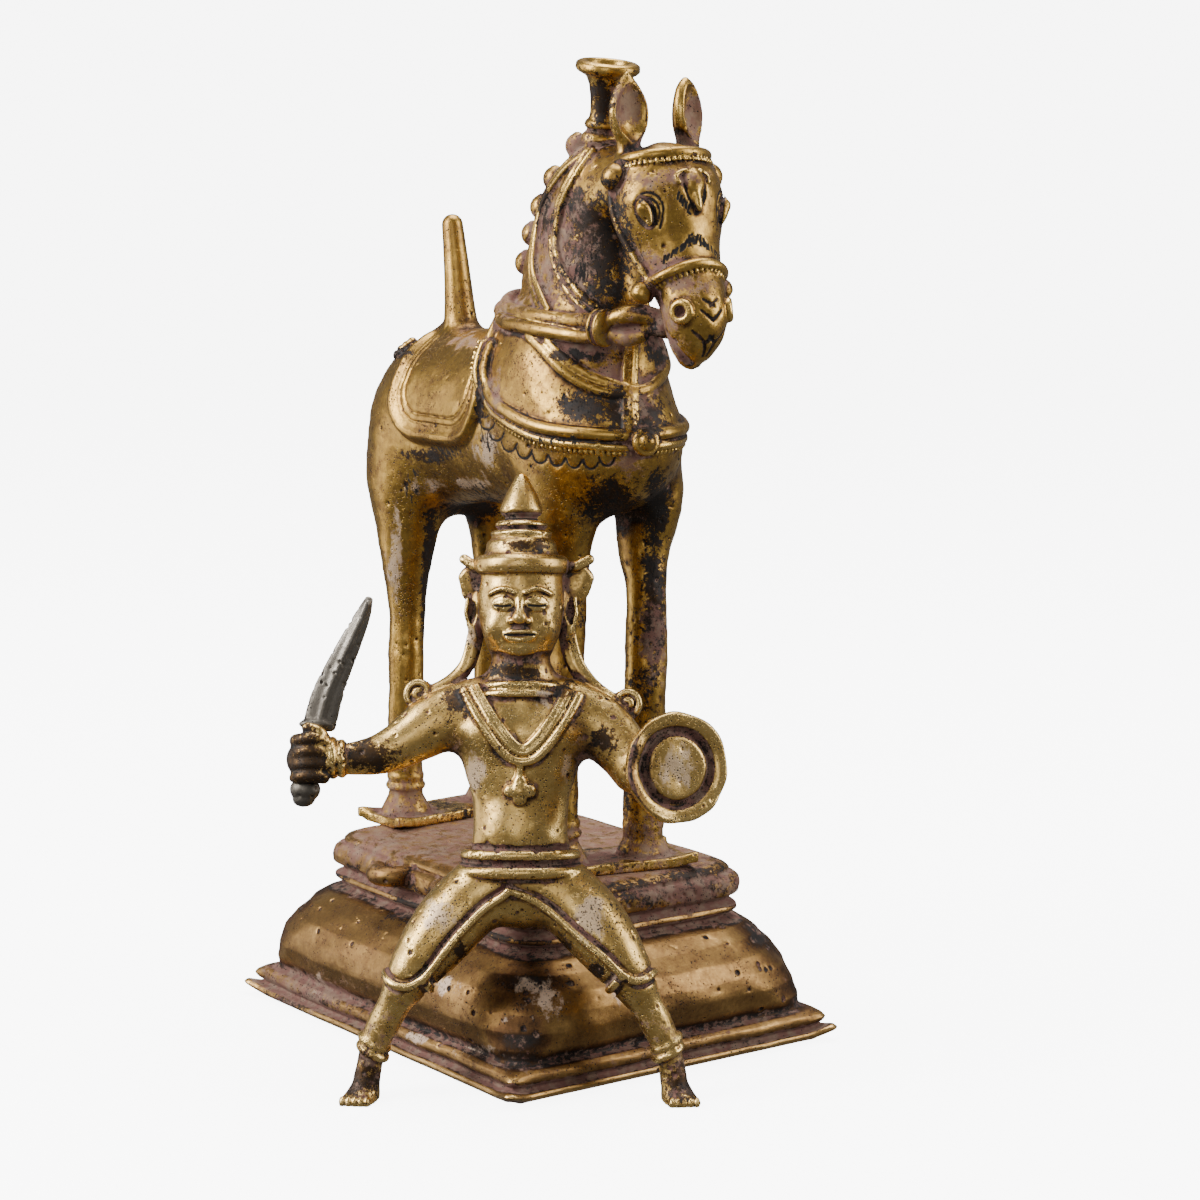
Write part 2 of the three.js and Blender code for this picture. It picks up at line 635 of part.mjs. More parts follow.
// The origin is below the middle of the whole object, on the surface that it stands on
const extent = new THREE.Box3().setFromObject(group);
const middle = extent.getCenter(v(0, 0, 0));
group.children.forEach((mesh) => mesh.position.set(-middle.x, -middle.y, -extent.min.z));

export default group;
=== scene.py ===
# A cast brass horse on a stepped plinth, with its loose rider in front of it with sword and shield.
# The metal is shaped in millimetres, in a frame whose origin is under the middle of the plinth:
# +Z up, the horse faces -Y and its left side is +X.

import math

import bpy
import numpy as np
from mathutils import Matrix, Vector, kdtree


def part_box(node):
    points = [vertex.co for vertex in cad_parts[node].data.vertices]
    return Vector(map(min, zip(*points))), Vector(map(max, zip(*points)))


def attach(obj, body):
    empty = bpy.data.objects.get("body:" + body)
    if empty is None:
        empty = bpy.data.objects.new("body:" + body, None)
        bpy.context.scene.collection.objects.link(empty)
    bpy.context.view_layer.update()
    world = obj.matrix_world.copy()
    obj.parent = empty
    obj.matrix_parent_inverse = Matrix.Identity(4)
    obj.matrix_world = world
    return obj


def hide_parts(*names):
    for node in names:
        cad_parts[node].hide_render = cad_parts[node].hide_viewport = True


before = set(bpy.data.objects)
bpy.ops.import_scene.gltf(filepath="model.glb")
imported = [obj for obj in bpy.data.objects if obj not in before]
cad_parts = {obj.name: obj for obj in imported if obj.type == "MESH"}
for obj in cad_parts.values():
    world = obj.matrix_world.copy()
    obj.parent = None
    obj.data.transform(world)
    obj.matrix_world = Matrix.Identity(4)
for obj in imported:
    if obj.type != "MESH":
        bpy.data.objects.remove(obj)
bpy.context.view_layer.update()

# Driving dimensions, in millimetres and degrees

PLINTH_LENGTH = 137
PLINTH_WIDTH = 109
PLINTH_HEIGHT = 50
BLOCK_INSET = 17.7
FOOT_TOP = 52.7
HEAD_YAW = 5
HEAD_ORIGIN = np.array([1.0, -57.0, 240.0])
RIDER_LEAN = 11
RIDER_TURN = -36.55
RIDER_FEET = np.array([-48.15, -63.4, 0.0])
GRID = 0.42
TRIANGLES = {"horse": 188000, "rider": 150000, "plinth": 110000, "sword": 24000}
METRE = 1000
EMPTY = 1e3
FIT_GAP = 0.3
INK_SPACING = 0.3
RAY_STEPS = 260

# The photograph's view: a frame of 1200 by 1200 picture points

PICTURE = 1200
CAMERA_PLACE = np.array([-508.68, -732.96, 262.0])
CAMERA_HEADING = 54.0073
CAMERA_TILT = 9.0568
FOCAL = 3239.3

step = GRID
low_corner, high_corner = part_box("plinth")
SHIFT = np.array([(low_corner[k] + high_corner[k]) * METRE / 2 for k in range(2)] + [0.0])


def turn_x(angle):
    """A turn about the X axis, in degrees."""
    c, s = math.cos(math.radians(angle)), math.sin(math.radians(angle))
    return np.array([[1, 0, 0], [0, c, -s], [0, s, c]])


def turn_z(angle):
    """A turn about the Z axis, in degrees."""
    c, s = math.cos(math.radians(angle)), math.sin(math.radians(angle))
    return np.array([[c, -s, 0], [s, c, 0], [0, 0, 1]])


HEAD = turn_z(-HEAD_YAW)
RIDER = turn_z(RIDER_TURN) @ turn_x(-RIDER_LEAN)

heading, tilt = math.radians(CAMERA_HEADING), math.radians(CAMERA_TILT)
FORWARD = np.array([math.cos(heading) * math.cos(tilt), math.sin(heading) * math.cos(tilt), -math.sin(tilt)])
RIGHT = np.array([math.sin(heading), -math.cos(heading), 0])
UPWARD = np.cross(RIGHT, FORWARD)


# Fields of signed distances, and the surfaces taken from them

class Field:
    """Signed distances in millimetres on a regular grid, negative inside the metal."""

    def __init__(self, low, high, step, margin=None):
        self.low = np.array(low, float)
        self.step = step
        self.margin = margin or 2 * step
        counts = np.ceil((np.array(high, float) - self.low) / step).astype(int) + 1
        self.d = np.full(counts, EMPTY, np.float32)
        self.lines = []

    def high(self):
        """The corner opposite to the low one."""
        return self.low + self.step * (np.array(self.d.shape) - 1)

    def window(self, low, high):
        """The part of the grid that holds a box, and its coordinates."""
        first = np.clip(np.floor((np.array(low) - self.low) / self.step).astype(int), 0, self.d.shape)
        last = np.clip(np.ceil((np.array(high) - self.low) / self.step).astype(int) + 1, first, self.d.shape)
        axes = [self.low[k] + self.step * np.arange(first[k], last[k]) for k in range(3)]
        grids = np.meshgrid(*[a.astype(np.float32) for a in axes], indexing="ij", sparse=True)
        return tuple(slice(a, b) for a, b in zip(first, last)), grids

    def add(self, shapes, blend=0.0):
        """Joins shapes on, melted in over the width of the blend."""
        self.mix(shapes, blend, 1)

    def cut(self, shapes, blend=0.0):
        """Takes shapes away, with edges rounded over the width of the blend."""
        self.mix(shapes, blend, -1)

    def mix(self, shapes, blend, sign):
        shapes = [shapes] if isinstance(shapes, tuple) else shapes
        reach = blend + self.margin
        low = np.min([shape[1] for shape in shapes], axis=0) - reach
        high = np.max([shape[2] for shape in shapes], axis=0) + reach
        part, _ = self.window(low, high)
        if 0 in self.d[part].shape:
            return
        other = np.full(self.d[part].shape, EMPTY, np.float32)
        for distance, start, end in shapes:
            inner, (x, y, z) = self.window(start - reach, end + reach)
            place = tuple(slice(a.start - b.start, a.stop - b.start) for a, b in zip(inner, part))
            if 0 not in other[place].shape:
                other[place] = np.minimum(other[place], distance(x, y, z))
        here = sign * self.d[part]
        result = np.minimum(here, other)
        if blend > 0:
            near = np.maximum(blend - np.abs(here - other), 0)
            result -= near * near * (0.25 / blend)
        self.d[part] = sign * result

    def relief(self, low, high, height):
        """Raises the surface inside a box by a height that depends on the place."""
        part, (x, y, z) = self.window(low, high)
        self.d[part] -= height(x, y, z).astype(np.float32)

    def sample(self, points):
        """The distance at any points, between the grid's own."""
        place = np.clip((points - self.low) / self.step, 0, np.array(self.d.shape) - 1.001)
        base = place.astype(int)
        t = place - base
        total = np.zeros(len(points))
        for corner in range(8):
            bits = np.array([corner & 1, corner >> 1 & 1, corner >> 2 & 1])
            weight = np.prod(np.where(bits, t, 1 - t), axis=1)
            i, j, k = (base + bits).T
            total += weight * self.d[i, j, k]
        return total

    def normal(self, points, reach=0.6):
        slope = np.stack([self.sample(points + reach * axis) - self.sample(points - reach * axis)
                          for axis in np.eye(3)], axis=1)
        return slope / (np.linalg.norm(slope, axis=1, keepdims=True) + 1e-9)

    def settle(self, points, height=0.0, rounds=8):
        """The points moved onto the surface, or to a height above it."""
        points = np.array(points, float)
        for _ in range(rounds):
            away = np.clip(self.sample(points) - height, -4, 4)
            points = points - 0.8 * away[:, None] * self.normal(points)
        return points

    def blurred(self, times=1):
        for _ in range(times):
            for axis in range(3):
                d = np.moveaxis(self.d, axis, 0)
                d[1:-1] = 0.25 * d[:-2] + 0.5 * d[1:-1] + 0.25 * d[2:]
        return self

    def refined(self, factor):
        """The same field on a finer grid."""
        finer = Field(self.low, self.high(), self.step / factor)
        d = self.d
        for axis in range(3):
            count = finer.d.shape[axis]
            place = np.minimum(np.arange(count) / factor, d.shape[axis] - 1.0001)
            base = place.astype(int)
            t = (place - base).astype(np.float32).reshape([-1 if k == axis else 1 for k in range(3)])
            d = np.take(d, base, axis) * (1 - t) + np.take(d, base + 1, axis) * t
        finer.d = d
        return finer

    def net(self):
        """The surface as vertices and quads: one vertex in each cell that the surface crosses."""
        d = self.d
        inside = d < 0
        cells = tuple(n - 1 for n in d.shape)
        count = np.zeros(cells, np.int8)
        corners = [(i, j, k) for i in (0, 1) for j in (0, 1) for k in (0, 1)]
        for corner in corners:
            count += inside[tuple(slice(corner[n], corner[n] + cells[n]) for n in range(3))]
        active = (count > 0) & (count < 8)
        cell = np.argwhere(active)
        number = np.full(cells, -1, np.int32)
        number[active] = np.arange(len(cell), dtype=np.int32)
        values = {c: d[cell[:, 0] + c[0], cell[:, 1] + c[1], cell[:, 2] + c[2]] for c in corners}
        total = np.zeros((len(cell), 3))
        hits = np.zeros(len(cell))
        for corner in corners:
            for axis in range(3):
                if corner[axis]:
                    continue
                far = tuple(1 if n == axis else corner[n] for n in range(3))
                a, b = values[corner], values[far]
                cross = (a < 0) != (b < 0)
                t = np.where(cross, a / np.where(cross, a - b, 1), 0)
                point = np.array(corner, float) + t[:, None] * np.eye(3)[axis]
                total += point * cross[:, None]
                hits += cross
        vertices = self.low + self.step * (cell + total / hits[:, None])
        quads = []
        for axis in range(3):
            u, v = (axis + 1) % 3, (axis + 2) % 3
            near = [slice(None)] * 3
            far = [slice(None)] * 3
            near[axis], far[axis] = slice(0, -1), slice(1, None)
            change = inside[tuple(near)] != inside[tuple(far)]
            edge = np.argwhere(change)
            for side in (u, v):
                edge = edge[(edge[:, side] > 0) & (edge[:, side] < cells[side])]
            starts = inside[tuple(near)][edge[:, 0], edge[:, 1], edge[:, 2]]
            around = []
            for du, dv in ((1, 1), (0, 1), (0, 0), (1, 0)):
                c = edge.copy()
                c[:, u] -= du
                c[:, v] -= dv
                around.append(number[c[:, 0], c[:, 1], c[:, 2]])
            quad = np.stack(around, axis=1)
            quad[~starts] = quad[~starts][:, ::-1]
            quads.append(quad)
        return vertices, np.concatenate(quads)


# Shapes: each is its distance function with the box that holds it, or a list of such shapes

def smooth(rows, steps):
    """Catmull-Rom through rows of numbers."""
    rows = np.array(rows, float)
    place = np.linspace(0, len(rows) - 1, steps + 1)
    i = np.minimum(place.astype(int), len(rows) - 2)
    t = (place - i)[:, None]
    a, b, c, d = [rows[np.clip(i + k, 0, len(rows) - 1)] for k in (-1, 0, 1, 2)]
    return b + 0.5 * t * (c - a + t * (2 * a - 5 * b + 4 * c - d + t * (3 * (b - c) + d - a)))


def unit(vector):
    """The vector, or each row of vectors, at length 1."""
    vector = np.array(vector, float)
    return vector / (np.linalg.norm(vector, axis=-1, keepdims=True) + 1e-9)


def limb(rows, side=(1, 0, 0), steps=None, egg=0.0):
    """A limb through rows of x, y, z, half-width along side and half-depth across it."""
    path = smooth(rows, steps or 4 * (len(rows) - 1))
    return [limb_piece(start, end, np.array(side, float), egg) for start, end in zip(path[:-1], path[1:])]


def limb_piece(start, end, side, egg):
    along = end[:3] - start[:3]
    length = np.linalg.norm(along)
    along = along / length
    across = unit(side - along * side.dot(along))
    through = np.cross(along, across)
    reach = max(start[3:].max(), end[3:].max())

    def distance(x, y, z):
        px, py, pz = x - start[0], y - start[1], z - start[2]
        s = px * along[0] + py * along[1] + pz * along[2]
        t = np.clip(s / length, 0, 1)
        over = s - t * length
        wide = start[3] + t * (end[3] - start[3])
        deep = start[4] + t * (end[4] - start[4])
        u = px * across[0] + py * across[1] + pz * across[2]
        w = px * through[0] + py * through[1] + pz * through[2]
        if egg:
            wide = wide * (1 - egg * np.clip(w / deep, -1, 1))
        least = np.minimum(wide, deep)
        ratio = np.sqrt((u / wide) ** 2 + (w / deep) ** 2 + (over / least) ** 2) + 1e-6
        slope = np.sqrt((u / wide ** 2) ** 2 + (w / deep ** 2) ** 2 + (over / least ** 2) ** 2) + 1e-6
        return ratio * (ratio - 1) / slope

    low, high = np.minimum(start[:3], end[:3]) - reach, np.maximum(start[:3], end[:3]) + reach
    return distance, low, high


def cord(points, radius):
    """A round cord through points; the radius may be one number for each point."""
    points = np.array(points, float)
    radii = np.broadcast_to(np.asarray(radius, float), len(points))
    return [cord_piece(*ends) for ends in zip(points[:-1], points[1:], radii[:-1], radii[1:])]


def cord_piece(start, end, r0, r1):
    along = end - start

    def distance(x, y, z):
        px, py, pz = x - start[0], y - start[1], z - start[2]
        t = np.clip((px * along[0] + py * along[1] + pz * along[2]) / (along.dot(along) + 1e-9), 0, 1)
        d = np.sqrt((px - t * along[0]) ** 2 + (py - t * along[1]) ** 2 + (pz - t * along[2]) ** 2)
        return d - (r0 + t * (r1 - r0))

    reach = max(r0, r1)
    return distance, np.minimum(start, end) - reach, np.maximum(start, end) + reach


def ball(centre, radii, turn=None):
    """An ellipsoid; turn is a 3 by 3 matrix whose columns are its own axes."""
    centre = np.array(centre, float)
    radii = np.broadcast_to(np.asarray(radii, float), 3)
    turn = np.eye(3) if turn is None else np.asarray(turn)
    reach = np.sqrt(((turn * radii) ** 2).sum(1))

    def distance(x, y, z):
        q = local(x, y, z, centre, turn)
        ratio = np.sqrt(sum((q[n] / radii[n]) ** 2 for n in range(3))) + 1e-6
        slope = np.sqrt(sum((q[n] / radii[n] ** 2) ** 2 for n in range(3))) + 1e-6
        return ratio * (ratio - 1) / slope

    return distance, centre - reach, centre + reach


def local(x, y, z, origin, turn):
    """Places in the frame whose origin is given and whose axes are turn's columns."""
    p = [x - origin[0], y - origin[1], z - origin[2]]
    return [sum(p[k] * turn[k, n] for k in range(3)) for n in range(3)]


def basis(outward, up=(0, 0, 1)):
    """A frame whose third axis is outward."""
    w = unit(outward)
    u = np.cross(up, w)
    if np.linalg.norm(u) < 1e-3:
        u = np.cross((0, 1, 0), w)
    u = unit(u)
    return np.stack([u, np.cross(w, u), w], axis=1)


def outline(points):
    """The signed distance to a closed outline in two coordinates."""
    points = np.array(points, float)

    def distance(a, b):
        best, odd = np.float32(1e9), False
        for (a0, b0), (a1, b1) in zip(points, np.roll(points, -1, axis=0)):
            ea, eb = a1 - a0, b1 - b0
            wa, wb = a - a0, b - b0
            t = np.clip((wa * ea + wb * eb) / (ea * ea + eb * eb + 1e-9), 0, 1)
            best = np.minimum(best, (wa - ea * t) ** 2 + (wb - eb * t) ** 2)
            rising = (b0 <= b) & (b < b1) & (ea * wb < eb * wa)
            falling = (b1 <= b) & (b < b0) & (ea * wb > eb * wa)
            odd = odd ^ (rising | falling)
        return np.where(odd, -1, 1) * np.sqrt(best)

    return distance


def turned(profile, centre, axis=(0, 0, 1), oval=1.0):
    """A profile of radius and height turned about an axis through the centre."""
    flat = outline(profile)
    turn = basis(axis)
    centre = np.array(centre, float)
    reach = np.hypot(*np.abs(np.array(profile, float)).max(0)) * max(oval, 1)

    def distance(x, y, z):
        u, v, w = local(x, y, z, centre, turn)
        return flat(np.sqrt(u * u + (v / oval) ** 2), w)

    return distance, centre - reach, centre + reach


def ring(centre, radius, thick, axis=(0, 0, 1)):
    """A round ring of round section."""
    turn = basis(axis)
    centre = np.array(centre, float)

    def distance(x, y, z):
        u, v, w = local(x, y, z, centre, turn)
        return np.sqrt((np.sqrt(u * u + v * v) - radius) ** 2 + w * w) - thick

    reach = radius + thick
    return distance, centre - reach, centre + reach


def placed(shapes, turn, origin):
    """Shapes made in a frame of their own, whose axes are turn's columns and whose origin is given."""
    shapes = [shapes] if isinstance(shapes, tuple) else shapes
    return [placed_piece(shape, turn, np.array(origin, float)) for shape in shapes]


def placed_piece(shape, turn, origin):
    distance, low, high = shape
    corners = np.array([[a[0], b[1], c[2]] for a in (low, high) for b in (low, high) for c in (low, high)])
    world = corners @ turn.T + origin

    def moved(x, y, z):
        return distance(*local(x, y, z, origin, turn))

    return moved, world.min(0), world.max(0)


# Placing by the photograph and working on a surface

def seen(field, points, turn=np.eye(3), origin=np.zeros(3)):
    """Where the rays through picture points first meet a field's surface, in the field's own frame."""
    across, down = (np.array(points, float).T - PICTURE / 2) / FOCAL
    rays = unit(FORWARD + np.outer(across, RIGHT) - np.outer(down, UPWARD)) @ turn
    eye = (CAMERA_PLACE - origin) @ turn
    entries = np.minimum((field.low - eye) / rays, (field.high() - eye) / rays).max(1)
    depth = entries.copy()
    nearest, best = np.full(len(depth), 1e9), depth.copy()
    for _ in range(RAY_STEPS):
        away = field.sample(eye + rays * depth[:, None])
        closer = np.abs(away) < nearest
        nearest, best = np.where(closer, np.abs(away), nearest), np.where(closer, depth, best)
        depth += np.clip(0.7 * away, -0.5, 1.1)
    return eye + rays * best[:, None]


def mirror(points, turn=np.eye(3), origin=np.zeros(3)):
    """The same points on the other side of the middle plane of a frame."""
    inner = (np.array(points, float) - origin) @ turn
    inner[:, 0] *= -1
    return inner @ turn.T + origin


def evenly(points, spacing):
    """Points along the same path at an even spacing."""
    points = np.array(points, float)
    run = np.concatenate([[0], np.cumsum(np.linalg.norm(np.diff(points, axis=0), axis=1))])
    count = max(int(round(run[-1] / spacing)), 1)
    stops = np.linspace(0, run[-1], count + 1)
    return np.stack([np.interp(stops, run, points[:, k]) for k in range(3)], axis=1)


def eased(points, times=3):
    """The points drawn a little towards their neighbours, the two ends staying."""
    points = np.array(points, float)
    for _ in range(times):
        points[1:-1] = 0.25 * points[:-2] + 0.5 * points[1:-1] + 0.25 * points[2:]
    return points


def path_on(field, guides, height=0.0, spacing=1.4):
    """A smooth path through guide points, laid on a surface."""
    fine = smooth(guides, 8 * (len(guides) - 1))
    return eased(field.settle(evenly(field.settle(fine, height), spacing), height))


def beside(field, path, offset, height=0.0):
    """The path shifted sideways along the surface and off it."""
    out = unit(eased(field.normal(path, 1.5), 6))
    across = unit(eased(np.cross(out, np.gradient(path, axis=0)), 6))
    return path + across * offset + out * height


def beads(path, spacing, radius):
    return [ball(point, radius) for point in evenly(path, spacing)]


def add_cords(field, cords, blend):
    """Raised cords, each given as its path and radius."""
    for path, radius in cords:
        field.add(cord(path, radius), blend)


# Rows that the solids share: x, y, z, half-width and half-depth

TORSO = [
    [0, 57.6, 165, 8.4, 12], [0, 54.4, 165.5, 13.4, 18], [0, 47, 166, 18.2, 23.8],
    [0, 36, 167.5, 20.6, 24.6], [0, 20, 169.5, 20.6, 23.8], [0, 4, 170.5, 20.8, 24.5],
    [0, -12, 171, 21.8, 25], [0, -26, 170.5, 22.6, 23.6], [0, -36, 168.6, 20.5, 20.6],
    [0, -44, 168, 13.5, 14.5], [0, -47.5, 168.4, 6, 7],
]
NECK = [
    [0, -14, 168, 17, 22], [0, -18, 181, 22.2, 30.4], [0, -21.2, 192, 18.8, 26.2],
    [0, -22.6, 200, 13.8, 22.6], [0, -23, 208, 11.8, 22.8], [0, -24.6, 217, 10.8, 20.8],
    [0, -28, 226, 10.2, 18], [0, -33.6, 233, 10, 14.6], [1, -44, 235.6, 10.6, 9.6], [1, -54, 234.6, 10, 8],
]
# The head's rows are forward from the poll and height above it
HEAD_ROWS = [
    [2.6, -2.2, 8.6, 8.2], [3.8, -4.4, 13.6, 11.6], [5, -8, 15.2, 12.4], [6.2, -13, 14.2, 11.4],
    [8.2, -19, 12.2, 10], [12.2, -26, 10.2, 9], [16.3, -32, 8.9, 8.4], [18.2, -37.6, 8.2, 8.6],
    [17, -42.8, 6.2, 7.4], [15.6, -48.2, 3.0, 3.8],
]
LEGS = [
    {"foot": (-13.1, 45.4), "knee": (-11.6, 46.2), "hip": (-10.4, 46), "thigh": (11.4, 15), "thick": 1.12,
     "stifle": 1.2},
    {"foot": (17.4, 47), "knee": (18.2, 47), "hip": (15.6, 46), "thigh": (8.8, 13), "thick": 1.0},
    {"foot": (-12.4, -31.5), "knee": (-10, -31), "hip": (-10.4, -29.4), "thigh": (10.4, 12.6), "thick": 1.08},
    {"foot": (12.2, -36), "knee": (13.6, -35.4), "hip": (17, -32), "thigh": (8.4, 11.4), "thick": 1.24,
     "stifle": 0.84},
]
TAIL = [[0, 57, 182, 4, 4], [0, 65.5, 176, 3.9, 3.7], [0, 69.5, 160, 4.5, 4.1], [0, 69.4, 141, 4.3, 3.9],
        [0, 67.4, 126, 2.6, 2.4]]
PEG = [[-0.4, 33.2, 186, 6.0, 6.0], [-0.4, 34.4, 199, 4.4, 4.4], [-0.5, 35.8, 211, 3.6, 3.6],
       [-0.6, 37.6, 222.6, 3.0, 3.0]]
KNOBS = [(-22.6, 245.6), (-12.2, 236.6), (-6.0, 228.8), (-1.8, 221.4), (1.4, 213.4)]
FOOT_PLATES = [((1.6, 46), 23.4, 8.4, 4), ((4.2, -33.4), 18.5, 10, -13)]

# Horse

def on_head(side, forward, up):
    """A place on the head, to its side, forward from the poll and up."""
    return HEAD @ np.array([side, -forward, up]) + HEAD_ORIGIN


def leg(foot, knee, hip, thigh, thick, stifle=1.0):
    """A leg from its ankle to inside the body; stifle thickens the part above the knee."""
    upper = thick * stifle
    rows = [
        [foot[0], foot[1], FOOT_TOP + 5, 4.5 * thick, 4.8 * thick],
        [foot[0], foot[1], FOOT_TOP + 24, 4.5 * thick, 4.9 * thick],
        [foot[0] * 0.6 + knee[0] * 0.4, foot[1], 96, 4.6 * thick, 5.0 * thick],
        [knee[0], knee[1], 112, 4.7 * thick, 5.1 * thick],
        [knee[0], knee[1], 126, 5.2 * upper, 5.8 * upper],
        [0.5 * (knee[0] + hip[0]), hip[1], 139, 6.8 * upper, 8.2 * upper],
        [hip[0], hip[1], 152, thigh[0], thigh[1]],
        [hip[0] * 0.9, hip[1] * 0.96, 166, thigh[0] - 0.5, thigh[1]],
    ]
    return limb(rows)


def hoof(x, y):
    """A round hoof flared at the bottom, with two rings above it."""
    profile = [
        [0, -0.9], [6.6, -0.9], [7.4, -0.3], [7.4, 0.9], [6.9, 1.8], [5.6, 4.4], [4.5, 6.4], [4.7, 7.2],
        [5.6, 7.6], [5.8, 8.4], [5.4, 9.2], [4.7, 9.7], [5.3, 10.4], [5.4, 11.4], [4.9, 12.2], [3.8, 12.8],
        [0, 13],
    ]
    return turned(profile, (x, y, FOOT_TOP))


def foot_plate(centre, half_width, half_depth, angle):
    """A thin plate with its corners drawn out and turned up."""
    turn = turn_z(angle)
    thick = 2.4
    underside = (centre[0], centre[1], PLINTH_HEIGHT + FIT_GAP)

    def distance(x, y, z):
        u, v, w = local(x, y, z, underside, turn)
        corner = np.clip(np.abs(u) / half_width - 0.55, 0, 0.45) / 0.45
        corner = corner * np.clip(np.abs(v) / half_depth, 0, 1) ** 2
        flat = np.maximum(np.abs(u) - half_width - 1.6 * corner, np.abs(v) - half_depth - 1.6 * corner)
        rise = w - 1.3 * corner ** 2 - thick / 2
        edge = np.minimum(np.maximum(flat, np.abs(rise) - thick / 2), 0)
        return edge + np.hypot(np.maximum(flat, 0), np.maximum(np.abs(rise) - thick / 2, 0)) - 0.15

    middle = np.array([centre[0], centre[1], PLINTH_HEIGHT + 2.5])
    reach = half_width + 6
    return distance, middle - (reach, reach, 3), middle + (reach, reach, 4)


def ear(side, turn, wide, deep=1.0, tall=18):
    """An upright, leaf-shaped ear, and the scoop that hollows it."""
    rows = [
        [0, 0, -5, 4.2, 3.2 * deep], [0, 0, 0.5, 3.3 * wide, 2.8 * deep],
        [0, 0, 5.4, 5.6 * wide, 3.2 * deep], [0, 0.2, 10, 5.8 * wide, 2.8 * deep],
        [0, 0.6, 14.2, 3.9 * wide, 1.9 * deep], [0, 0.8, tall, 0.8, 0.9],
    ]
    scoop = [
        [0, -3.9 * deep, 2.6, 2.2 * wide, 2.2], [0, -3.6 * deep, 6.2, 4.9 * wide, 4.1],
        [0, -3.4 * deep, 10.4, 5.1 * wide, 4.0], [0, -2.8 * deep, 14, 3.1 * wide, 2.7],
        [0, -2.2 * deep, tall - 1.6, 0.5, 1.0],
    ]
    frame_turn = HEAD @ turn_z(turn)
    origin = on_head(side * 8.4, -1, 6.4)
    return placed(limb(rows), frame_turn, origin), placed(limb(scoop), frame_turn, origin)


def uneven(field, amount=0.22):
    """The gentle unevenness of a surface modelled by hand."""

    def height(x, y, z):
        wave = np.sin(0.41 * x + 0.23 * z + 1) * np.sin(0.37 * y - 0.29 * z) * np.sin(0.33 * z + 0.31 * x + 2)
        fine = np.sin(0.93 * x + 0.61 * y) * np.sin(0.83 * y + 0.71 * z + 1) * np.sin(0.97 * z - 0.53 * x)
        return amount * (wave + 0.6 * fine)

    field.relief(field.low, field.high(), height)


def horse_masses():
    """The body, neck, head, legs and tail, melted into each other."""
    field = Field((-32, -90, 46), (34, 82, 272), 3 * step, margin=5)
    field.add(limb(TORSO))
    field.add(limb(NECK, egg=0.18), 3.5)
    head = [[0, -forward, up, wide, deep] for forward, up, wide, deep in HEAD_ROWS]
    field.add(placed(limb(head), HEAD, HEAD_ORIGIN), 3)
    for part in LEGS:
        field.add(leg(**part), 5)
    field.add(limb([[-8, 44, 145.6, 5, 6.5], [8, 44, 145.6, 5, 6.5]], (0, 1, 0)), 6)
    field = field.blurred(2)
    uneven(field)
    field = field.refined(3)
    field.add(limb(TAIL), 3)
    return field


# What the photograph shows on the horse, in picture points

CHEST_BAND = [(488, 345), (479.6, 375.6), (490.7, 402.7), (510, 418.6), (533.8, 431.4), (565.7, 437.8),
              (605.6, 441)]
CHEST_BOSS = (642, 441.8)
CRUPPER = [(399, 356), (403, 351), (408, 347), (413, 343.5)]
NECKLACES = [
    [(531, 337), (546.5, 351.6), (559, 367.6), (578.5, 382), (597.6, 391.5), (618, 396)],
    [(550, 342), (569, 363), (588, 375.6), (607, 383.5), (621.5, 386.7)],
]
NECKLACE_ENDS = [(634, 395), (646, 390), (656, 382), (664, 371)]
FRONT_STRAP = [(631, 342), (630, 370), (630, 400), (631, 430)]
NECK_STRIPS = [
    [(592, 152), (580, 167), (569, 185), (560, 208), (555, 230), (554, 250), (562.5, 275), (577, 296),
     (591.7, 310)],
    [(590, 150), (575, 160), (561, 174), (549, 192), (540, 215), (536, 240), (533, 272), (538.6, 296),
     (546, 314)],
]
BROWBAND = [(617, 166.5), (626, 163), (648, 158.5), (670, 155.5), (689, 155.5), (704, 160)]
NOSEBAND = [(652, 285), (658, 281), (679, 271), (696, 265.6), (712, 271)]
# Places on the head: to its side, forward from the poll and up
CHEEK_STRAP = [(13.2, -1.5, -4.5), (14.2, 0.8, -9), (13.8, 3, -14), (12.6, 5.6, -19), (11.2, 9.2, -24),
               (9.8, 11.8, -28.6)]
BROW_ROSETTE = (13.8, -0.4, -2.6)
NOSE_BOSS = (10.8, 11.6, -29.2)
NOSTRIL = (681.7, 311.5)
EYE = (645, 212)
EYE_ENDS = [(639.6, 199), (652, 227)]
EYE_ARCS = [
    [(641, 194), (650, 192), (658, 196), (664, 208), (660, 228)],
    [(644, 199), (651, 198), (657, 203), (660, 212), (657, 224)],
]
PENDANT = (695, 183)
MOUTH = [(667, 334), (673, 344), (680, 354), (689, 364)]
LIP_LINES = [
    [(703, 299), (709, 302), (715, 306)], [(701, 310), (707, 315), (713, 320)],
    [(692, 331), (700, 337), (705, 343)], [(705, 343), (710, 340), (714, 336)],
    [(705, 343), (705, 350), (703, 357)],
]
# Two ends and the number of strokes between them
FRINGES = [((679, 192), (692, 208), 6), ((665, 256), (686, 242), 6), ((690, 240), (698, 234), 3),
           ((701, 235), (707, 243), 3)]
SCALLOPS = [(483, 412), (487, 424), (496, 435), (509, 446), (524, 453), (540, 458), (557, 461), (574, 463),
            (591, 464), (607, 461)]


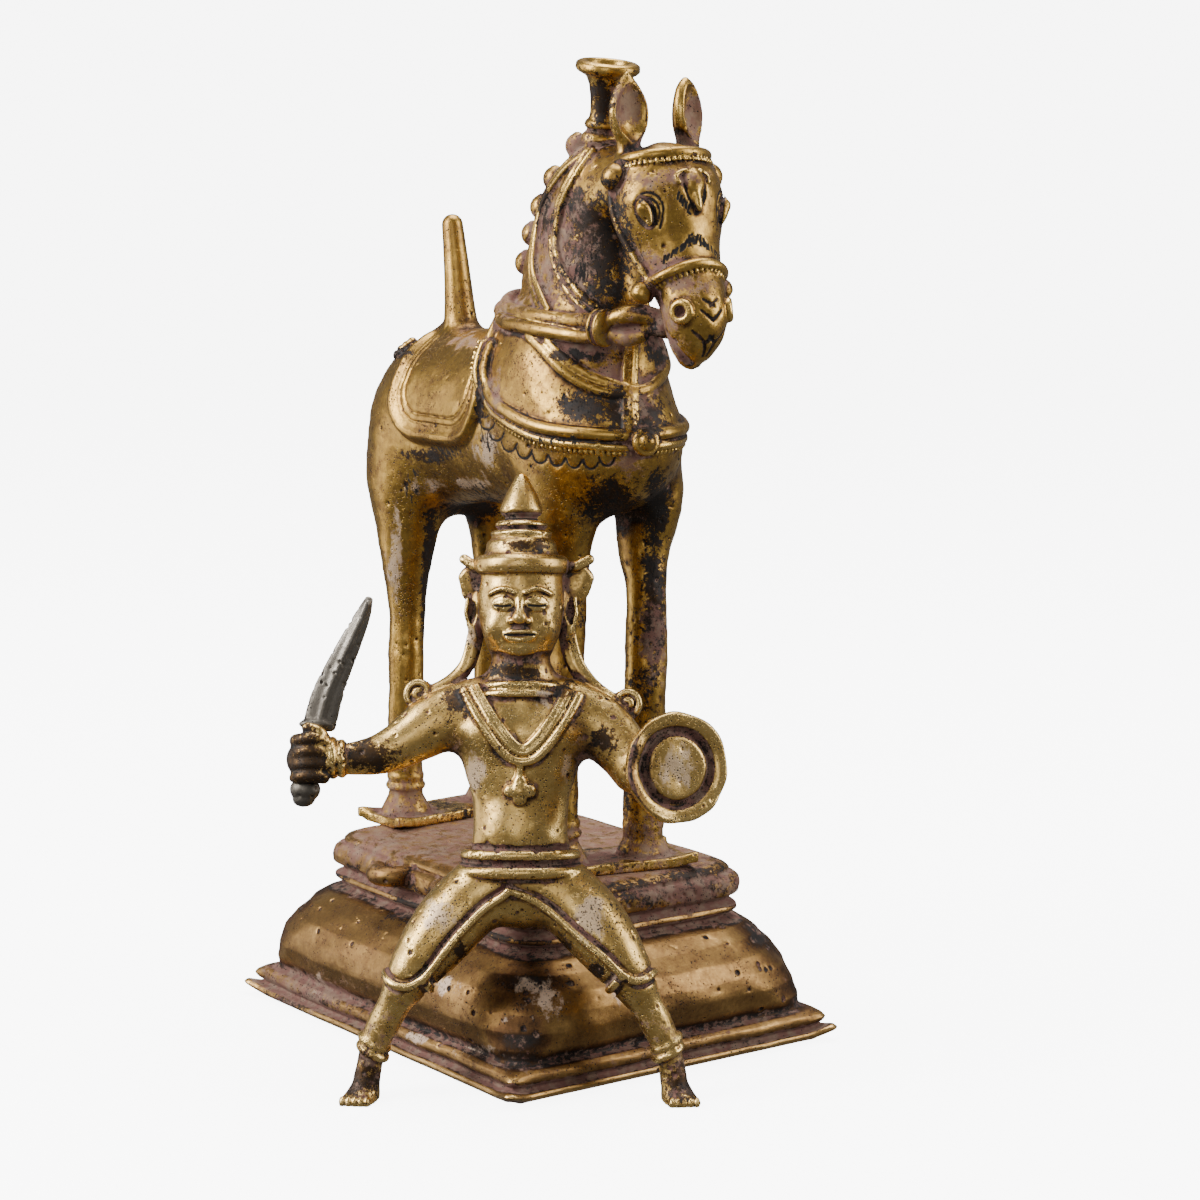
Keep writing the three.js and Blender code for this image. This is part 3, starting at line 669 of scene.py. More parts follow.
def saddle_cloth(field):
    """The cloth raises the body's skin inside a round-ended flap on each side; its border is raised again."""
    middle, half, bottom, corner = 17, 24, 163.5, 16
    low_levels = [-30, -8.2, -7.7, -7.2, -5.9, -5.4, -4.9, -4.1, -3.4, -2.6, -1.7, -0.8, 0.1, 1]
    heights = [1.0, 1.0, 0.45, 1.0, 1.0, 0.5, 1.0, 1.05, 1.5, 2.1, 2.3, 2.0, 0.9, 0]

    def height(x, y, z):
        a, b = np.abs(y - middle) - (half - corner), (bottom + corner) - z
        edge = np.hypot(np.maximum(a, 0), np.maximum(b, 0)) + np.minimum(np.maximum(a, b), 0) - corner
        raised = np.interp(edge, low_levels, heights)
        return raised + 0 * x

    field.relief((-32, middle - half - 3, bottom - 3), (32, middle + half + 3, 200), height)


def engrave(field, guides, depth=0.38, spacing=0.8):
    """A fine cut along guide points, dark with what has gathered in it."""
    path = path_on(field, guides, 0.0, spacing)
    field.lines.append(evenly(path, INK_SPACING))
    field.cut(cord(path, depth), 0.1)


def both(points):
    return [points, mirror(points)]


def harness(field):
    """The chest band with its boss, the necklaces, the neck's strips, the scallops and the crupper."""
    boss = seen(field, [CHEST_BOSS])
    out = unit(field.normal(boss, 4)[0])
    band = seen(field, CHEST_BAND)
    band = eased(path_on(field, np.concatenate([band, boss, mirror(band)[::-1]])), 6)
    front = eased(path_on(field, seen(field, FRONT_STRAP)), 6)
    ridges = [(beside(field, band, 1.6, 0.2), 1.8), (beside(field, band, -1.5, 0.1), 1.15)]
    studs = beside(field, band, -3.2, 0.0)
    strap = [(beside(field, front, side * 1.5, 0.1), 0.85) for side in (1, -1)] + [(front, 1.4)]
    necklaces = []
    for guides in NECKLACES:
        near_side, far_side = seen(field, guides), seen(field, NECKLACE_ENDS)
        path = path_on(field, np.concatenate([near_side, far_side, mirror(near_side[:3])[::-1]]), 0.1)
        necklaces.append(eased(path, 8))
    strips = []
    for guides in NECK_STRIPS:
        for side in both(seen(field, guides)):
            path = eased(path_on(field, side), 6)
            strips += [(beside(field, path, 1.1, 0.4), 1.15), (beside(field, path, -1.1, 0.3), 0.95)]
    scallops = [seen(field, [(x - 8, y - 4), (x - 6, y + 3), (x - 1, y + 6), (x + 5, y + 4), (x + 8, y - 3)])
                for x, y in SCALLOPS]
    crupper = seen(field, CRUPPER)
    for arc in scallops:
        for side in both(arc):
            engrave(field, side, 0.34)
    add_cords(field, ridges, 0.4)
    field.add(beads(studs, 1.5, 0.62), 0.15)
    add_cords(field, [(path, 1.6) for path in necklaces], 0.6)
    add_cords(field, strap, 0.3)
    add_cords(field, strips, 0.4)
    field.add([ball(spot, 1.5) for spot in field.settle(crupper, 0.4)], 0.4)
    turn = basis(out)
    place = boss[0] + 2.2 * out
    field.add(ball(place, (3.9, 3.9, 1.9), turn), 0.4)
    field.add(ring(place + 0.9 * out, 3.1, 0.55, out), 0.2)
    field.add(ball(place + 1.2 * out, (2.3, 2.3, 2.0), turn), 0.25)


def rein(field):
    """Two cords lie round the neck and run forward, through a ring collar, to a knot at the jaw."""
    guides = [[0, 1.5, 203.5], [8.4, -4, 202], [13.2, -16, 200], [14.6, -32, 200], [13.6, -50, 201.2]]
    cords = []
    for side in (1, -1):
        path = smooth([[side * x, y, z] for x, y, z in guides], 30)
        for drop in (0, 4.1):
            low = path - (0, 0, drop)
            held = field.settle(low, 1.3)
            pressed = (field.sample(low) < 4) & (low[:, 1] > -40)
            cords.append(eased(np.where(pressed[:, None], held, low), 4))
    for path in cords:
        field.add(cord(path, 2.05), 0.3)
    for side in (1, -1):
        for y, size in ((-50.6, 4.4), (-53.4, 4.5)):
            field.add(ball((side * 13.5, y, 199.4), (size - 0.4, 1.7, size + 0.6)), 0.5)
        upper = [[side * 12, -54, 201.4, 2.2, 2.2], [side * 9.6, -57.6, 202.8, 2.9, 2.7],
                 [side * 6.2, -61, 202.8, 2.9, 2.7], [side * 3.6, -64, 201.6, 2.2, 2.2]]
        lower = [[side * 11.8, -54.6, 197.6, 1.9, 1.9], [side * 9.4, -57.4, 196.8, 2.3, 2.2],
                 [side * 6.6, -60.4, 197.6, 1.9, 1.9]]
        field.add(limb([[side * 10.6, -54, 199.6, 2.0, 2.8], [side * 7, -58.6, 199.8, 1.8, 2.6],
                        [side * 3.4, -65, 200.5, 2.2, 2.8]]), 0.6)
        field.add(limb(upper), 0.25)
        field.add(limb(lower), 0.25)


def across_head(guides):
    """Guides from one side of the head, carried on over its middle to the other side."""
    return np.concatenate([guides, mirror(guides, HEAD, HEAD_ORIGIN)[::-1]])


def on_side(place, side):
    return on_head(side * place[0], place[1], place[2])


def flipped(points, side):
    """Points seen on the head's right side, or their mirror image on its left."""
    return mirror(points, HEAD, HEAD_ORIGIN) if side > 0 else points


def bridle(field):
    """The bands and studs of the bridle, and the eyes, nostrils, mouth and forelock that it frames."""
    brow = seen(field, BROWBAND)
    nose = seen(field, NOSEBAND)
    nostril, eye, pendant = seen(field, [NOSTRIL, EYE, PENDANT])
    ends = seen(field, EYE_ENDS)
    arcs = [seen(field, arc) for arc in EYE_ARCS]
    mouth = seen(field, MOUTH)
    lines = [seen(field, line) for line in LIP_LINES]
    fringes = [(seen(field, [a, b]), count) for a, b, count in FRINGES]
    brow = path_on(field, across_head(np.concatenate([[on_side(BROW_ROSETTE, -1)], brow[:4]])), 0.2)
    nose = path_on(field, across_head(np.concatenate([[on_side(NOSE_BOSS, -1)], nose[:4]])), 0.2)
    cheeks = [path_on(field, [on_side(place, side) for place in CHEEK_STRAP]) for side in (1, -1)]
    cords = [(eased(beside(field, brow, 0.1, 0.8), 6), 1.6),
             (eased(beside(field, nose, 0.4, 0.7), 6), 1.5)]
    studs = [(beside(field, brow, -1.9, 0.2), 0.7), (beside(field, nose, -1.5, 0.2), 0.6)]
    for path, side in zip(cheeks, (1, -1)):
        cords.append((eased(beside(field, path, -0.9 * side, 0.6), 6), 1.15))
        studs.append((beside(field, path, 1.2 * side, 0.3), 0.75))
    rims = []
    for side in (1, -1):
        centre = field.settle(flipped(eye[None], side))[0]
        out = field.normal(centre[None], 2.0)[0]
        tips = flipped(ends, side)
        long_axis = unit(tips[1] - tips[0])
        turn = np.stack([long_axis, unit(np.cross(out, long_axis)), out], axis=1)
        rims.append((centre, turn))
        spot = field.settle(flipped(nostril[None], side))
        hole = field.normal(spot, 1.5)[0]
        field.add(ring(spot[0] + 0.2 * hole, 2.2, 1.2, hole), 0.5)
        field.cut(ball(spot[0] + 0.8 * hole, (1.4, 1.4, 1.5), basis(hole)), 0.3)
        for arc in arcs:
            engrave(field, flipped(arc, side), 0.36)
        for line in lines:
            engrave(field, flipped(line, side), 0.4)
        field.cut(cord(path_on(field, flipped(mouth, side)), 1.3), 0.3)
        for ends_of_row, count in fringes:
            fringe(field, *flipped(ends_of_row, side), count)
    add_cords(field, cords, 0.35)
    for path, radius in studs:
        field.add(beads(path, 1.45, radius), 0.2)
    for side in (1, -1):
        for place, radius, height in ((BROW_ROSETTE, 3.6, 3.3), (NOSE_BOSS, 3.2, 3.0)):
            spot = field.settle(on_side(place, side)[None], 1.0)
            out = field.normal(spot, 1.5)[0]
            field.add(ball(spot[0], (radius, radius, height), basis(out)), 0.3)
            field.add(ring(spot[0] + 0.4 * height * out, radius * 0.8, 0.5, out), 0.2)
    for centre, turn in rims:
        out = turn[:, 2]
        tip = turn[:, 0]
        field.cut(ball(centre + 0.8 * out, (4.4, 3.0, 1.4), turn), 0.8)
        field.add(limb([[*(centre - 3.4 * tip), 0.5, 0.5], [*(centre - 1.4 * tip), 1.9, 1.5],
                        [*(centre + 0.8 * tip), 1.7, 1.4], [*(centre + 3.6 * tip), 0.5, 0.5]],
                       turn[:, 1]), 0.4)
        field.add(ball(centre - 1.2 * tip + 0.9 * out, (1.5, 1.5, 1.0), turn), 0.3)
        engrave(field, oval(centre, 4.3, 2.5, turn, 24), 0.42)
    forelock(field, field.settle(pendant[None])[0])


def forelock(field, forehead):
    """A drop-shaped pendant between two small curls on the forehead."""
    out = field.normal(forehead[None], 2.5)[0]
    turn = basis(out, unit(HEAD @ np.array([0, 0, 1.0])))

    def leaf(side, up, proud):
        return forehead + turn @ np.array([side, up, proud])

    field.add(ball(leaf(0, 0.6, -0.2), (2.9, 3.6, 1.6), turn), 0.4)
    field.add(ball(leaf(0, -3.8, -0.2), (1.3, 3.8, 1.2), turn), 0.5)
    field.add(ball(leaf(0, 1.2, 0.8), (1.3, 1.8, 1.1), turn), 0.2)
    for side in (1, -1):
        curl = [leaf(side * 2.2, 3.4, 0.3), leaf(side * 4.4, 3.2, 0), leaf(side * 5.6, 1.6, -0.2),
                leaf(side * 4.6, 0.4, 0)]
        field.add(cord(path_on(field, curl, 0.2, 0.8), 0.62), 0.2)
        engrave(field, [leaf(side * 3.2, -0.2, 0), leaf(side * 2.8, -3, 0), leaf(side * 1.6, -6.4, 0)], 0.36)


def fringe(field, start, end, count):
    """A row of short engraved strokes between two points."""
    down = np.array([-0.3, 0, -1.0])
    for t in np.linspace(0, 1, count):
        spot = start + (end - start) * t
        engrave(field, np.stack([spot, spot + 0.9 * down, spot + 1.8 * down]), 0.24, 0.6)


def spool():
    """The plume holder on the poll: two rings, a waist and a flared, hollow mouth."""
    profile = [
        [0, 0], [5.0, 0], [5.4, 0.8], [5.3, 2.2], [4.4, 3.2], [3.9, 3.9], [4.7, 4.5], [4.9, 5.3],
        [4.5, 6.1], [3.8, 6.8], [3.6, 8.6], [3.9, 12], [4.6, 15.6], [5.6, 17.8], [7.9, 18.9],
        [8.6, 19.7], [8.5, 21.2], [7.4, 21.9], [5.9, 21.9], [5.2, 20.6], [4.6, 18.4], [0, 17.8],
    ]
    return turned(profile, (0.3, -32.6, 246.2), turn_x(9) @ np.array([0, 0, 1.0]))


def casting_pits(field, count, seed, low, high, size=(0.35, 0.7)):
    """Small round holes where gas was caught under the skin of the casting."""
    rolls = np.random.default_rng(seed).random((count, 3))
    places = np.array(low) + rolls * (np.array(high) - np.array(low))
    near = np.abs(field.sample(places)) < 0.9 * EMPTY
    places = field.settle(places[near], 0.0, 14)
    places = places[np.abs(field.sample(places)) < 0.3]
    sizes = np.random.default_rng(seed + 1).uniform(*size, len(places))
    field.cut([ball(p, s) for p, s in zip(places, sizes)], 0.1)


def stop_at_ground(field, down=(0, 0, -1.0)):
    """Takes off what lies below the ground, given which way is down in the field's frame."""
    _, (x, y, z) = field.window(field.low, field.high())
    field.d = np.maximum(field.d, x * down[0] + y * down[1] + z * down[2]).astype(np.float32)


def make_horse():
    field = horse_masses()
    saddle_cloth(field)
    field.add(limb(PEG), 4)
    bridle(field)
    harness(field)
    rein(field)
    for part in LEGS:
        field.add(hoof(*part["foot"]), 0.5)
    for plate in FOOT_PLATES:
        field.add(foot_plate(*plate), 0.4)
    field.add(spool(), 0.6)
    for y, z in KNOBS:
        field.add(ball((0, y, z), (3.4, 3.5, 3.5)), 1.3)
        field.add(ring((0, y + 0.2, z), 3.2, 0.6, (1, 0, 0)), 0.3)
    for part, scoop in (ear(-1, 4, 1), ear(1.14, 26, 0.92, 1.1, 16.6)):
        field.add(part, 1.2)
        field.cut(scoop, 0.4)
    casting_pits(field, 700, 11, (-26, -80, 52), (26, 72, 262), (0.3, 0.55))
    return field


# Rider, in a frame of its own: +X to its left hand, +Y to its back, +Z from its feet to its head

RIDER_TORSO = [
    [0, 1, 51.5, 8, 6.5], [0, 1, 57, 15.5, 8.4], [0, -0.3, 66, 12.8, 7.4], [0, -0.2, 78, 12.6, 7.5],
    [0, 0, 89, 15.4, 8.4], [0, 0.5, 98, 18, 8.4], [0, 1, 104, 16.4, 7], [0, 1.5, 109, 9.4, 6],
]
RIDER_HEAD = [
    [0, -2.6, 119.4, 4.4, 4.2], [0, -1.4, 121.8, 9.2, 8.8], [0, -0.5, 128.4, 11.2, 10.2],
    [0, 0, 137, 11, 10.6], [0, 0.5, 142, 9.5, 9.5],
]
THIGH = [
    [6, 2, 58, 8.6, 8], [14.5, 0.5, 51, 9.4, 8.8], [21.4, -1, 43, 8.8, 8.4], [27, -1.6, 35.5, 7, 7],
    [30, -1.4, 30.6, 5.6, 5.8],
]
SHIN = [
    [28, -1.4, 34, 4.6, 4.6], [35.6, 1, 20.5, 4.3, 4.3], [38.6, 2.4, 13, 3.6, 3.8], [40, 3, 6.5, 3.6, 4],
    [41.4, 2.8, -4, 4.0, 5.0],
]
SWORD_ARM = [
    [-13, 1, 101.8, 8.0, 6.4], [-22, 0.4, 98.8, 8.0, 5.8], [-30, -0.5, 93.7, 6.6, 5.0],
    [-38, -1.5, 90.2, 5.2, 4.4], [-49, -2.6, 89, 3.8, 3.6],
]
SHIELD_ARM = [
    [13, 1, 101.8, 8.0, 6.4], [21, 0, 97.8, 8.0, 5.8], [27, -1.5, 91.0, 7.2, 5.4], [30.6, -4, 86.0, 6.0, 4.8],
    [40, -7.5, 87.4, 3.6, 3.6],
]
GRIP = [[-53.2, -3, 98.5, 2, 1.8], [-54.4, -3, 91, 2, 1.8], [-55.8, -3, 81.5, 2, 1.8]]
POMMEL = [((-56.0, -3.4, 81.4), (4.0, 3.4, 3.4)), ((-56.4, -3.4, 78.6), (2.8, 2.6, 1.8))]
BLADE = [
    [-52.4, -3, 98, 4.4, 1.3], [-50.6, -3, 105.2, 4.2, 1.2], [-47.8, -3, 112.3, 3.6, 1.1],
    [-44.5, -3, 119.5, 3.0, 1.0], [-41.2, -3, 126.8, 2.1, 0.9], [-39.6, -3, 131.0, 1.1, 0.7],
]
SHIELD_PLACE = (40, -11, 87.4)
SHIELD_FACE = turn_z(20) @ np.array([0, -1.0, 0])
NECKLACE = [(470, 690), (484, 716), (503, 743), (523, 763), (543, 742), (562, 716), (573, 694)]
RIDER_PENDANT = (520, 791)
NAVEL = (516, 850)
WAIST_FOLD = [(486, 852), (500, 856), (516, 860), (532, 857), (550, 851)]
# The breeches' hems, from the notch down the inner thigh and round under the knee
HEMS = [
    (1, [(514, 892), (536, 901), (572, 930), (604, 957), (622, 975), (638, 982), (653, 972)]),
    (-1, [(514, 892), (488, 905), (456, 937), (436, 963), (423, 979), (404, 988), (391, 983)]),
]


def sided(rows, side):
    """Rows made for the left side, or their mirror image."""
    return [[side * row[0], *row[1:]] for row in rows]


def oval(middle, wide, deep, turn=np.eye(3), count=40):
    """Points round an ellipse, level or in the plane of a turn."""
    angles = np.linspace(0, 2 * math.pi, count + 1)
    flat = np.stack([wide * np.cos(angles), deep * np.sin(angles), 0 * angles], axis=1)
    return flat @ turn.T + np.array(middle, float)


def on_rider(field, points):
    return seen(field, points, RIDER, RIDER_FEET)


def rider_masses():
    """The body, limbs, neck and head, melted into each other."""
    field = Field((-63, -19, -6), (57, 19, 168), 3 * step, margin=5)
    field.add(limb(RIDER_TORSO))
    for side in (1, -1):
        field.add(limb(sided(THIGH, side)), 4)
        field.add(limb(sided(SHIN, side)), 2)
    field.add(limb(SWORD_ARM, (0, 0, 1)), 5)
    field.add(limb(SHIELD_ARM, (0, 0, 1)), 5)
    field.add(limb([[0, 1.5, 103, 8.4, 7.6], [0, 0.4, 121, 7.6, 7.6]]), 3)
    field.add(limb(RIDER_HEAD), 2)
    for side in (1, -1):
        field.add(ball((side * 7, -4.6, 96), (6.6, 4.6, 5.2)), 4)
    field.add(ball((0, -4, 71), (8, 4.4, 7)), 5)
    field = field.blurred(1)
    uneven(field, 0.15)
    field = field.refined(3)
    field.cut(cord(oval((0, 0.8, 115.6), 9.4, 9.0), 1.4), 1.2)
    return field


def face(field):
    """A calm, regular face, level and symmetrical, with the eyes halfway up the head."""
    eye_line, brow_line, nose_base, mouth_line, chin_line = 129.6, 132.7, 125.0, 121.7, 116.8
    field.add(ball((0, -6.6, chin_line + 1.4), (3.6, 3.2, 2.4)), 2)
    for side in (1, -1):
        field.add(ball((side * 5.8, -6.4, 123.8), (3.5, 3.2, 3.6)), 2.2)
    nose = [[0, -9.4, brow_line - 0.3, 1.0, 1.2], [0, -10.8, 128.0, 1.2, 1.5],
            [0, -11.8, nose_base + 0.9, 1.9, 1.7]]
    field.add(limb(nose), 0.8)
    for side in (1, -1):
        field.add(ball((side * 2.0, -10.2, nose_base + 0.2), (1.2, 1.4, 1.0)), 0.4)
        brow = [[side * 1.4, -11, brow_line - 0.2], [side * 4.8, -10.6, brow_line + 1.0],
                [side * 8.6, -8.6, brow_line - 0.5]]
        brow = path_on(field, brow, 0.2, 0.8)
        socket = field.settle([[side * 4.9, -11, eye_line]])[0]
        out = field.normal(socket[None], 1.5)[0]
        turn = basis(out)
        field.cut(ball(socket + 0.7 * out, (3.6, 2.2, 1.5), turn), 0.8)
        field.add(ball(socket - 0.8 * out, (2.9, 1.6, 1.9), turn), 0.3)
        lid = oval(socket + 0.2 * out, 3.1, 1.7, turn, 24)
        field.add(cord(field.settle(lid, 0.1), 0.42), 0.15)
        slit = [socket + turn @ np.array([t, -0.45, 0.4]) for t in (-2.4, 0, 2.4)]
        engrave(field, slit, 0.3, 0.7)
        field.add(cord(brow, 0.62), 0.35)
    upper = [[-3.6, -10, mouth_line], [-1.3, -11, mouth_line + 0.9], [0, -11, mouth_line + 0.6],
             [1.3, -11, mouth_line + 0.9], [3.6, -10, mouth_line]]
    lower = [[-2.9, -10, mouth_line - 0.9], [0, -11, mouth_line - 1.4], [2.9, -10, mouth_line - 0.9]]
    parting = [[-3.9, -10, mouth_line], [0, -11, mouth_line - 0.15], [3.9, -10, mouth_line]]
    upper = path_on(field, upper, 0.1, 0.7)
    lower = path_on(field, lower, 0.1, 0.7)
    parting = path_on(field, parting, 0.6, 0.7)
    field.add(cord(upper, 0.8), 0.35)
    field.add(cord(lower, 0.95), 0.45)
    field.cut(cord(parting, 0.34), 0.1)
    field.lines.append(evenly(parting, INK_SPACING))


def headdress(field):
    """A wound turban in rings under a pointed top, with a flap, a lock and an earring on each side."""
    profile = [
        [0, 134.5], [10.4, 134.5], [11.2, 136.2], [12.1, 136.8], [12.6, 138.2], [12.5, 139.9], [11.4, 141.1],
        [9.0, 141.3], [7.9, 141.6], [8.7, 142.3], [9.3, 143.4], [8.9, 144.6], [7.6, 145.1], [6.8, 145.4],
        [7.9, 145.9], [8.2, 146.7], [7.3, 147.3], [5.8, 147.5], [6.6, 148.0], [7.0, 148.8], [6.2, 149.6],
        [4.3, 149.9], [4.1, 150.5], [5.2, 151.2], [5.7, 152.3], [5.2, 153.8], [4.0, 156.4], [2.5, 159],
        [1.3, 160.9], [0, 161.7],
    ]
    raised = [[r, z - 148 + np.interp(z, [134.5, 138, 161.7], [1.2, 1.2, 2.8])] for r, z in profile]
    field.add(turned(raised, (0, 0.5, 148)), 0.25)
    for height, radius in ((142.8, 8.3), (146.8, 7.1), (149.0, 6.2), (151.9, 4.5)):
        field.lines.append(evenly(oval((0, 0.5, height), radius, radius), INK_SPACING))
    for side, out in ((1, 1.0), (-1, 0.84)):
        field.add(limb([[side * 9.8, 2.2, 131.6, 2.2, 4.4], [side * 13.2 * out, 1.6, 134.8, 2.2, 5.2],
                        [side * 16.4 * out, 1.0, 138.2, 1.7, 3.4]], (0, 1, 0)), 0.7)
        field.add(cord([[side * 11.4 * out, 0.2, 139.4], [side * 14.6 * out, -0.8, 139.8],
                        [side * 17.8 * out, 0.4, 141.6]], 1.4), 0.4)
        field.cut(ball((side * 13.8 * out, -1.8, 135.6), (2.7, 1.5, 2.6)), 0.5)
        field.add(limb([[side * 10.9, 1.6, 132.4, 1.8, 2.6], [side * 12.2, 2, 128, 2.1, 3.0],
                        [side * 11.8, 2, 121.6, 1.6, 2.2]]), 0.6)
        field.cut(ball((side * 13.0, -0.9, 127.6), (1.3, 1.5, 3.4)), 0.4)
        earring = [[side * 13.9, 0, 131], [side * 14.4, 0.2, 127.6], [side * 13.2, 0.4, 122.6]]
        field.add(cord(earring, 0.7), 0.3)


def streamers(field):
    """A ribbon falls from behind each ear to the shoulder, and ends in a curl."""
    for side, end, drop in ((1, 27.6, 2.4), (-1, 26.6, 0)):
        rows = [[10.6, 3.5, 131], [12, 3.5, 122], [14, 3.5, 114.5], [18.4, 2.6, 109.4 - 0.4 * drop],
                [24.6, 1.4, 106 - 0.8 * drop]]
        path = evenly(smooth(sided(rows, side), 40), 1.2)
        field.add(cord(path, 2.1), 0.8)
        for offset in (-1.4, 1.4):
            ridge = path + (0, -0.9, 0) + np.outer(np.full(len(path), offset), (1, 0, 0.35))
            field.add(cord(eased(ridge), 0.95), 0.25)
        height = 106.6 - drop
        angles = np.linspace(-0.5 * math.pi, 2.6 * math.pi, 34)
        radius = np.linspace(3.8, 0.4, 34)
        curl = [side * (end + radius * np.cos(angles)), 0.2 - 0.02 * angles, height + radius * np.sin(angles)]
        curl = np.stack(curl, axis=1)
        field.add(ball((side * end, 1.2, height), (3.7, 0.9, 3.7)), 0.3)
        field.add(cord(curl, 1.0), 0.2)


def dress(field):
    """The necklace with its pendant, the collar, the belts, the breeches' hems and the anklets."""
    necklace = on_rider(field, NECKLACE)
    pendant = on_rider(field, [RIDER_PENDANT])
    navel = on_rider(field, [NAVEL])
    fold = on_rider(field, WAIST_FOLD)
    hems = [(side, on_rider(field, points)) for side, points in HEMS]
    path = eased(path_on(field, necklace, 0.15), 14)
    for offset, radius in ((-1.7, 1.25), (0.5, 1.0), (2.1, 0.9)):
        field.add(cord(beside(field, path, offset, 0.4), radius), 0.2)
    for z, wide, deep, radius in ((105.6, 11.4, 8.6, 1.15), (107.9, 10.4, 8.2, 1.15)):
        field.add(cord(oval((0, 1.2, z), wide, deep, turn_x(-6)), radius), 0.35)
    place = field.settle(pendant)[0]
    out = field.normal(place[None], 1.5)[0]
    turn = basis(out)
    petals = [place + turn @ np.array([2.3 * math.cos(a), 2.2 * math.sin(a), 0.2])
              for a in np.arange(4) * math.pi / 2]
    field.add([ball(petal, (2.0, 1.9, 1.5), turn) for petal in petals], 0.4)
    field.add(ball(place + 0.4 * out, (2.6, 2.4, 1.8), turn), 0.3)
    stem = [place + turn @ np.array(end) for end in ([0, 3.4, 0.2], [0, 6.4, 0.3])]
    field.add(cord(stem, 1.1), 0.3)
    field.cut(ball(navel[0], 0.9), 0.3)
    for z, wide, deep, radius in ((60.0, 15.2, 9.2, 1.7), (64.4, 14.2, 8.7, 1.6)):
        field.add(cord(oval((0, 0.4, z), wide, deep), radius), 0.5)
    engrave(field, fold, 0.6)
    engrave(field, oval((0, 0.3, 66.6), 13.6, 8.2), 0.6)
    engrave(field, oval((0, 0.3, 62.2), 15.4, 9.4), 0.4)
    for side, hem in hems:
        behind = [[side * 35, -1, 34], [side * 31.5, 4.5, 33], [side * 26, 1.5, 31.5]]
        edge = path_on(field, [*hem, *behind, hem[4]], 0.25)
        field.add(cord(edge, 1.15), 0.35)
        for offset in (-1.7, 1.7):
            field.cut(cord(beside(field, edge, offset), 0.5), 0.25)
    for side in (1, -1):
        axis = unit(np.array(SHIN[1][:3]) - np.array(THIGH[-1][:3])) * (side, 1, 1)
        for drop in (0, 2.3):
            field.add(ring((side * (38.1 + drop * 0.2), 2.4, 15.4 - drop), 3.6, 1.2, axis), 0.4)


def feet(field):
    """Bare feet with five toes."""
    for side in (1, -1):
        field.add(limb([[side * 41, 4.6, 2, 3.8, 3.4], [side * 41.9, 0.7, 0.4, 4.5, 2.9],
                        [side * 42.8, -1.8, -0.6, 4.6, 2.3]]), 1.5)
        for toe in range(5):
            x = side * (39.6 + 1.6 * toe)
            field.add(ball((x, -3.7 + 0.15 * toe, 0.4), (0.9, 1.5, 1.6)), 0.3)


def hands(field):
    """The right fist closes on the sword's grip, behind a loose ring; the left is behind the shield."""
    axis = (1, 0.04, 0.02)
    field.add(ring((-46.6, -2.6, 89.4), 3.9, 1.2, axis), 0.4)
    field.add(ring((-48.9, -2.8, 89.6), 4.4, 1.2, axis), 0.4)
    fist = [[-49, -2.8, 89.6, 3.9, 3.7], [-54.2, -3, 89.6, 5.4, 5.6], [-56.6, -3, 89.2, 4.4, 4.6]]
    field.add(limb(fist, (0, 0, 1)), 1)
    for finger in range(4):
        z = 94.6 - 3.2 * finger
        knuckles = [[-51.0, -6.2, z - 0.4], [-54.0, -7.6, z], [-57.0, -6.6, z - 0.3], [-58.4, -4.0, z - 0.6],
                    [-57.4, -1.4, z - 0.8]]
        field.add(cord(smooth(knuckles, 14), 1.75), 0.9)
    thumb = [[-50.2, -4.6, 93.6], [-52.0, -6.6, 96.4], [-55.2, -6.4, 97.4]]
    field.add(cord(smooth(thumb, 8), 1.5), 0.4)


def shield():
    """A round shield with a rolled rim and a raised middle, a little out of true."""
    profile = [
        [0, -2.2], [8.6, -2.2], [11.6, -1.0], [13.4, 0.2], [13.9, 1.5], [13.8, 2.7], [13.2, 3.3], [12.5, 3.0],
        [11.6, 2.9], [10.5, 2.3], [9.8, 1.2], [9.1, 0.7], [8.5, 1.0], [8.0, 2.0], [7.2, 2.6], [5, 2.6],
        [0, 2.4],
    ]
    distance, low, high = turned(profile, SHIELD_PLACE, SHIELD_FACE, 1.04)

    def warped(x, y, z):
        wave = np.sin(0.4 * x + 0.3 * z) * np.sin(0.37 * z - 0.2 * x + 1) + 0.3 * np.sin(0.8 * x + 0.6 * z)
        return distance(x, y, z) + 0.22 * wave

    return warped, low, high


def make_rider():
    field = rider_masses()
    face(field)
    headdress(field)
    streamers(field)
    dress(field)
    feet(field)
    hands(field)
    field.add(shield(), 0.6)
    casting_pits(field, 600, 21, (-60, -16, 2), (54, 14, 162), (0.3, 0.6))
    field.cut(limb([[x, y, z, wide + FIT_GAP, deep + FIT_GAP] for x, y, z, wide, deep in GRIP]))
    for centre, radii in POMMEL:
        field.cut(ball(centre, np.array(radii) + FIT_GAP))
    stop_at_ground(field, RIDER.T @ np.array([0, 0, -1.0]))
    return field


def make_sword():
    """A broad curved blade with a ridge on each face, its grip and its pommel."""
    field = Field((-66, -9, 72), (-36, 3, 134), min(step, 0.36))
    field.add(limb(BLADE, steps=24))
    spine = smooth([row[:3] for row in BLADE], 24)
    for y in (1.0, -1.0):
        field.add(cord(spine[:-2] + (0, y, 0), 0.6), 1.2)
    field.add(limb(GRIP), 0.3)
    field.add(ball((-53.4, -3, 98.4), (4.4, 2.4, 1.5)), 0.6)
    for centre, radii in POMMEL:
        field.add(ball(centre, radii), 0.8)
    casting_pits(field, 160, 31, (-60, -6, 74), (-39, 0, 130), (0.25, 0.5))
    return field


# Plinth

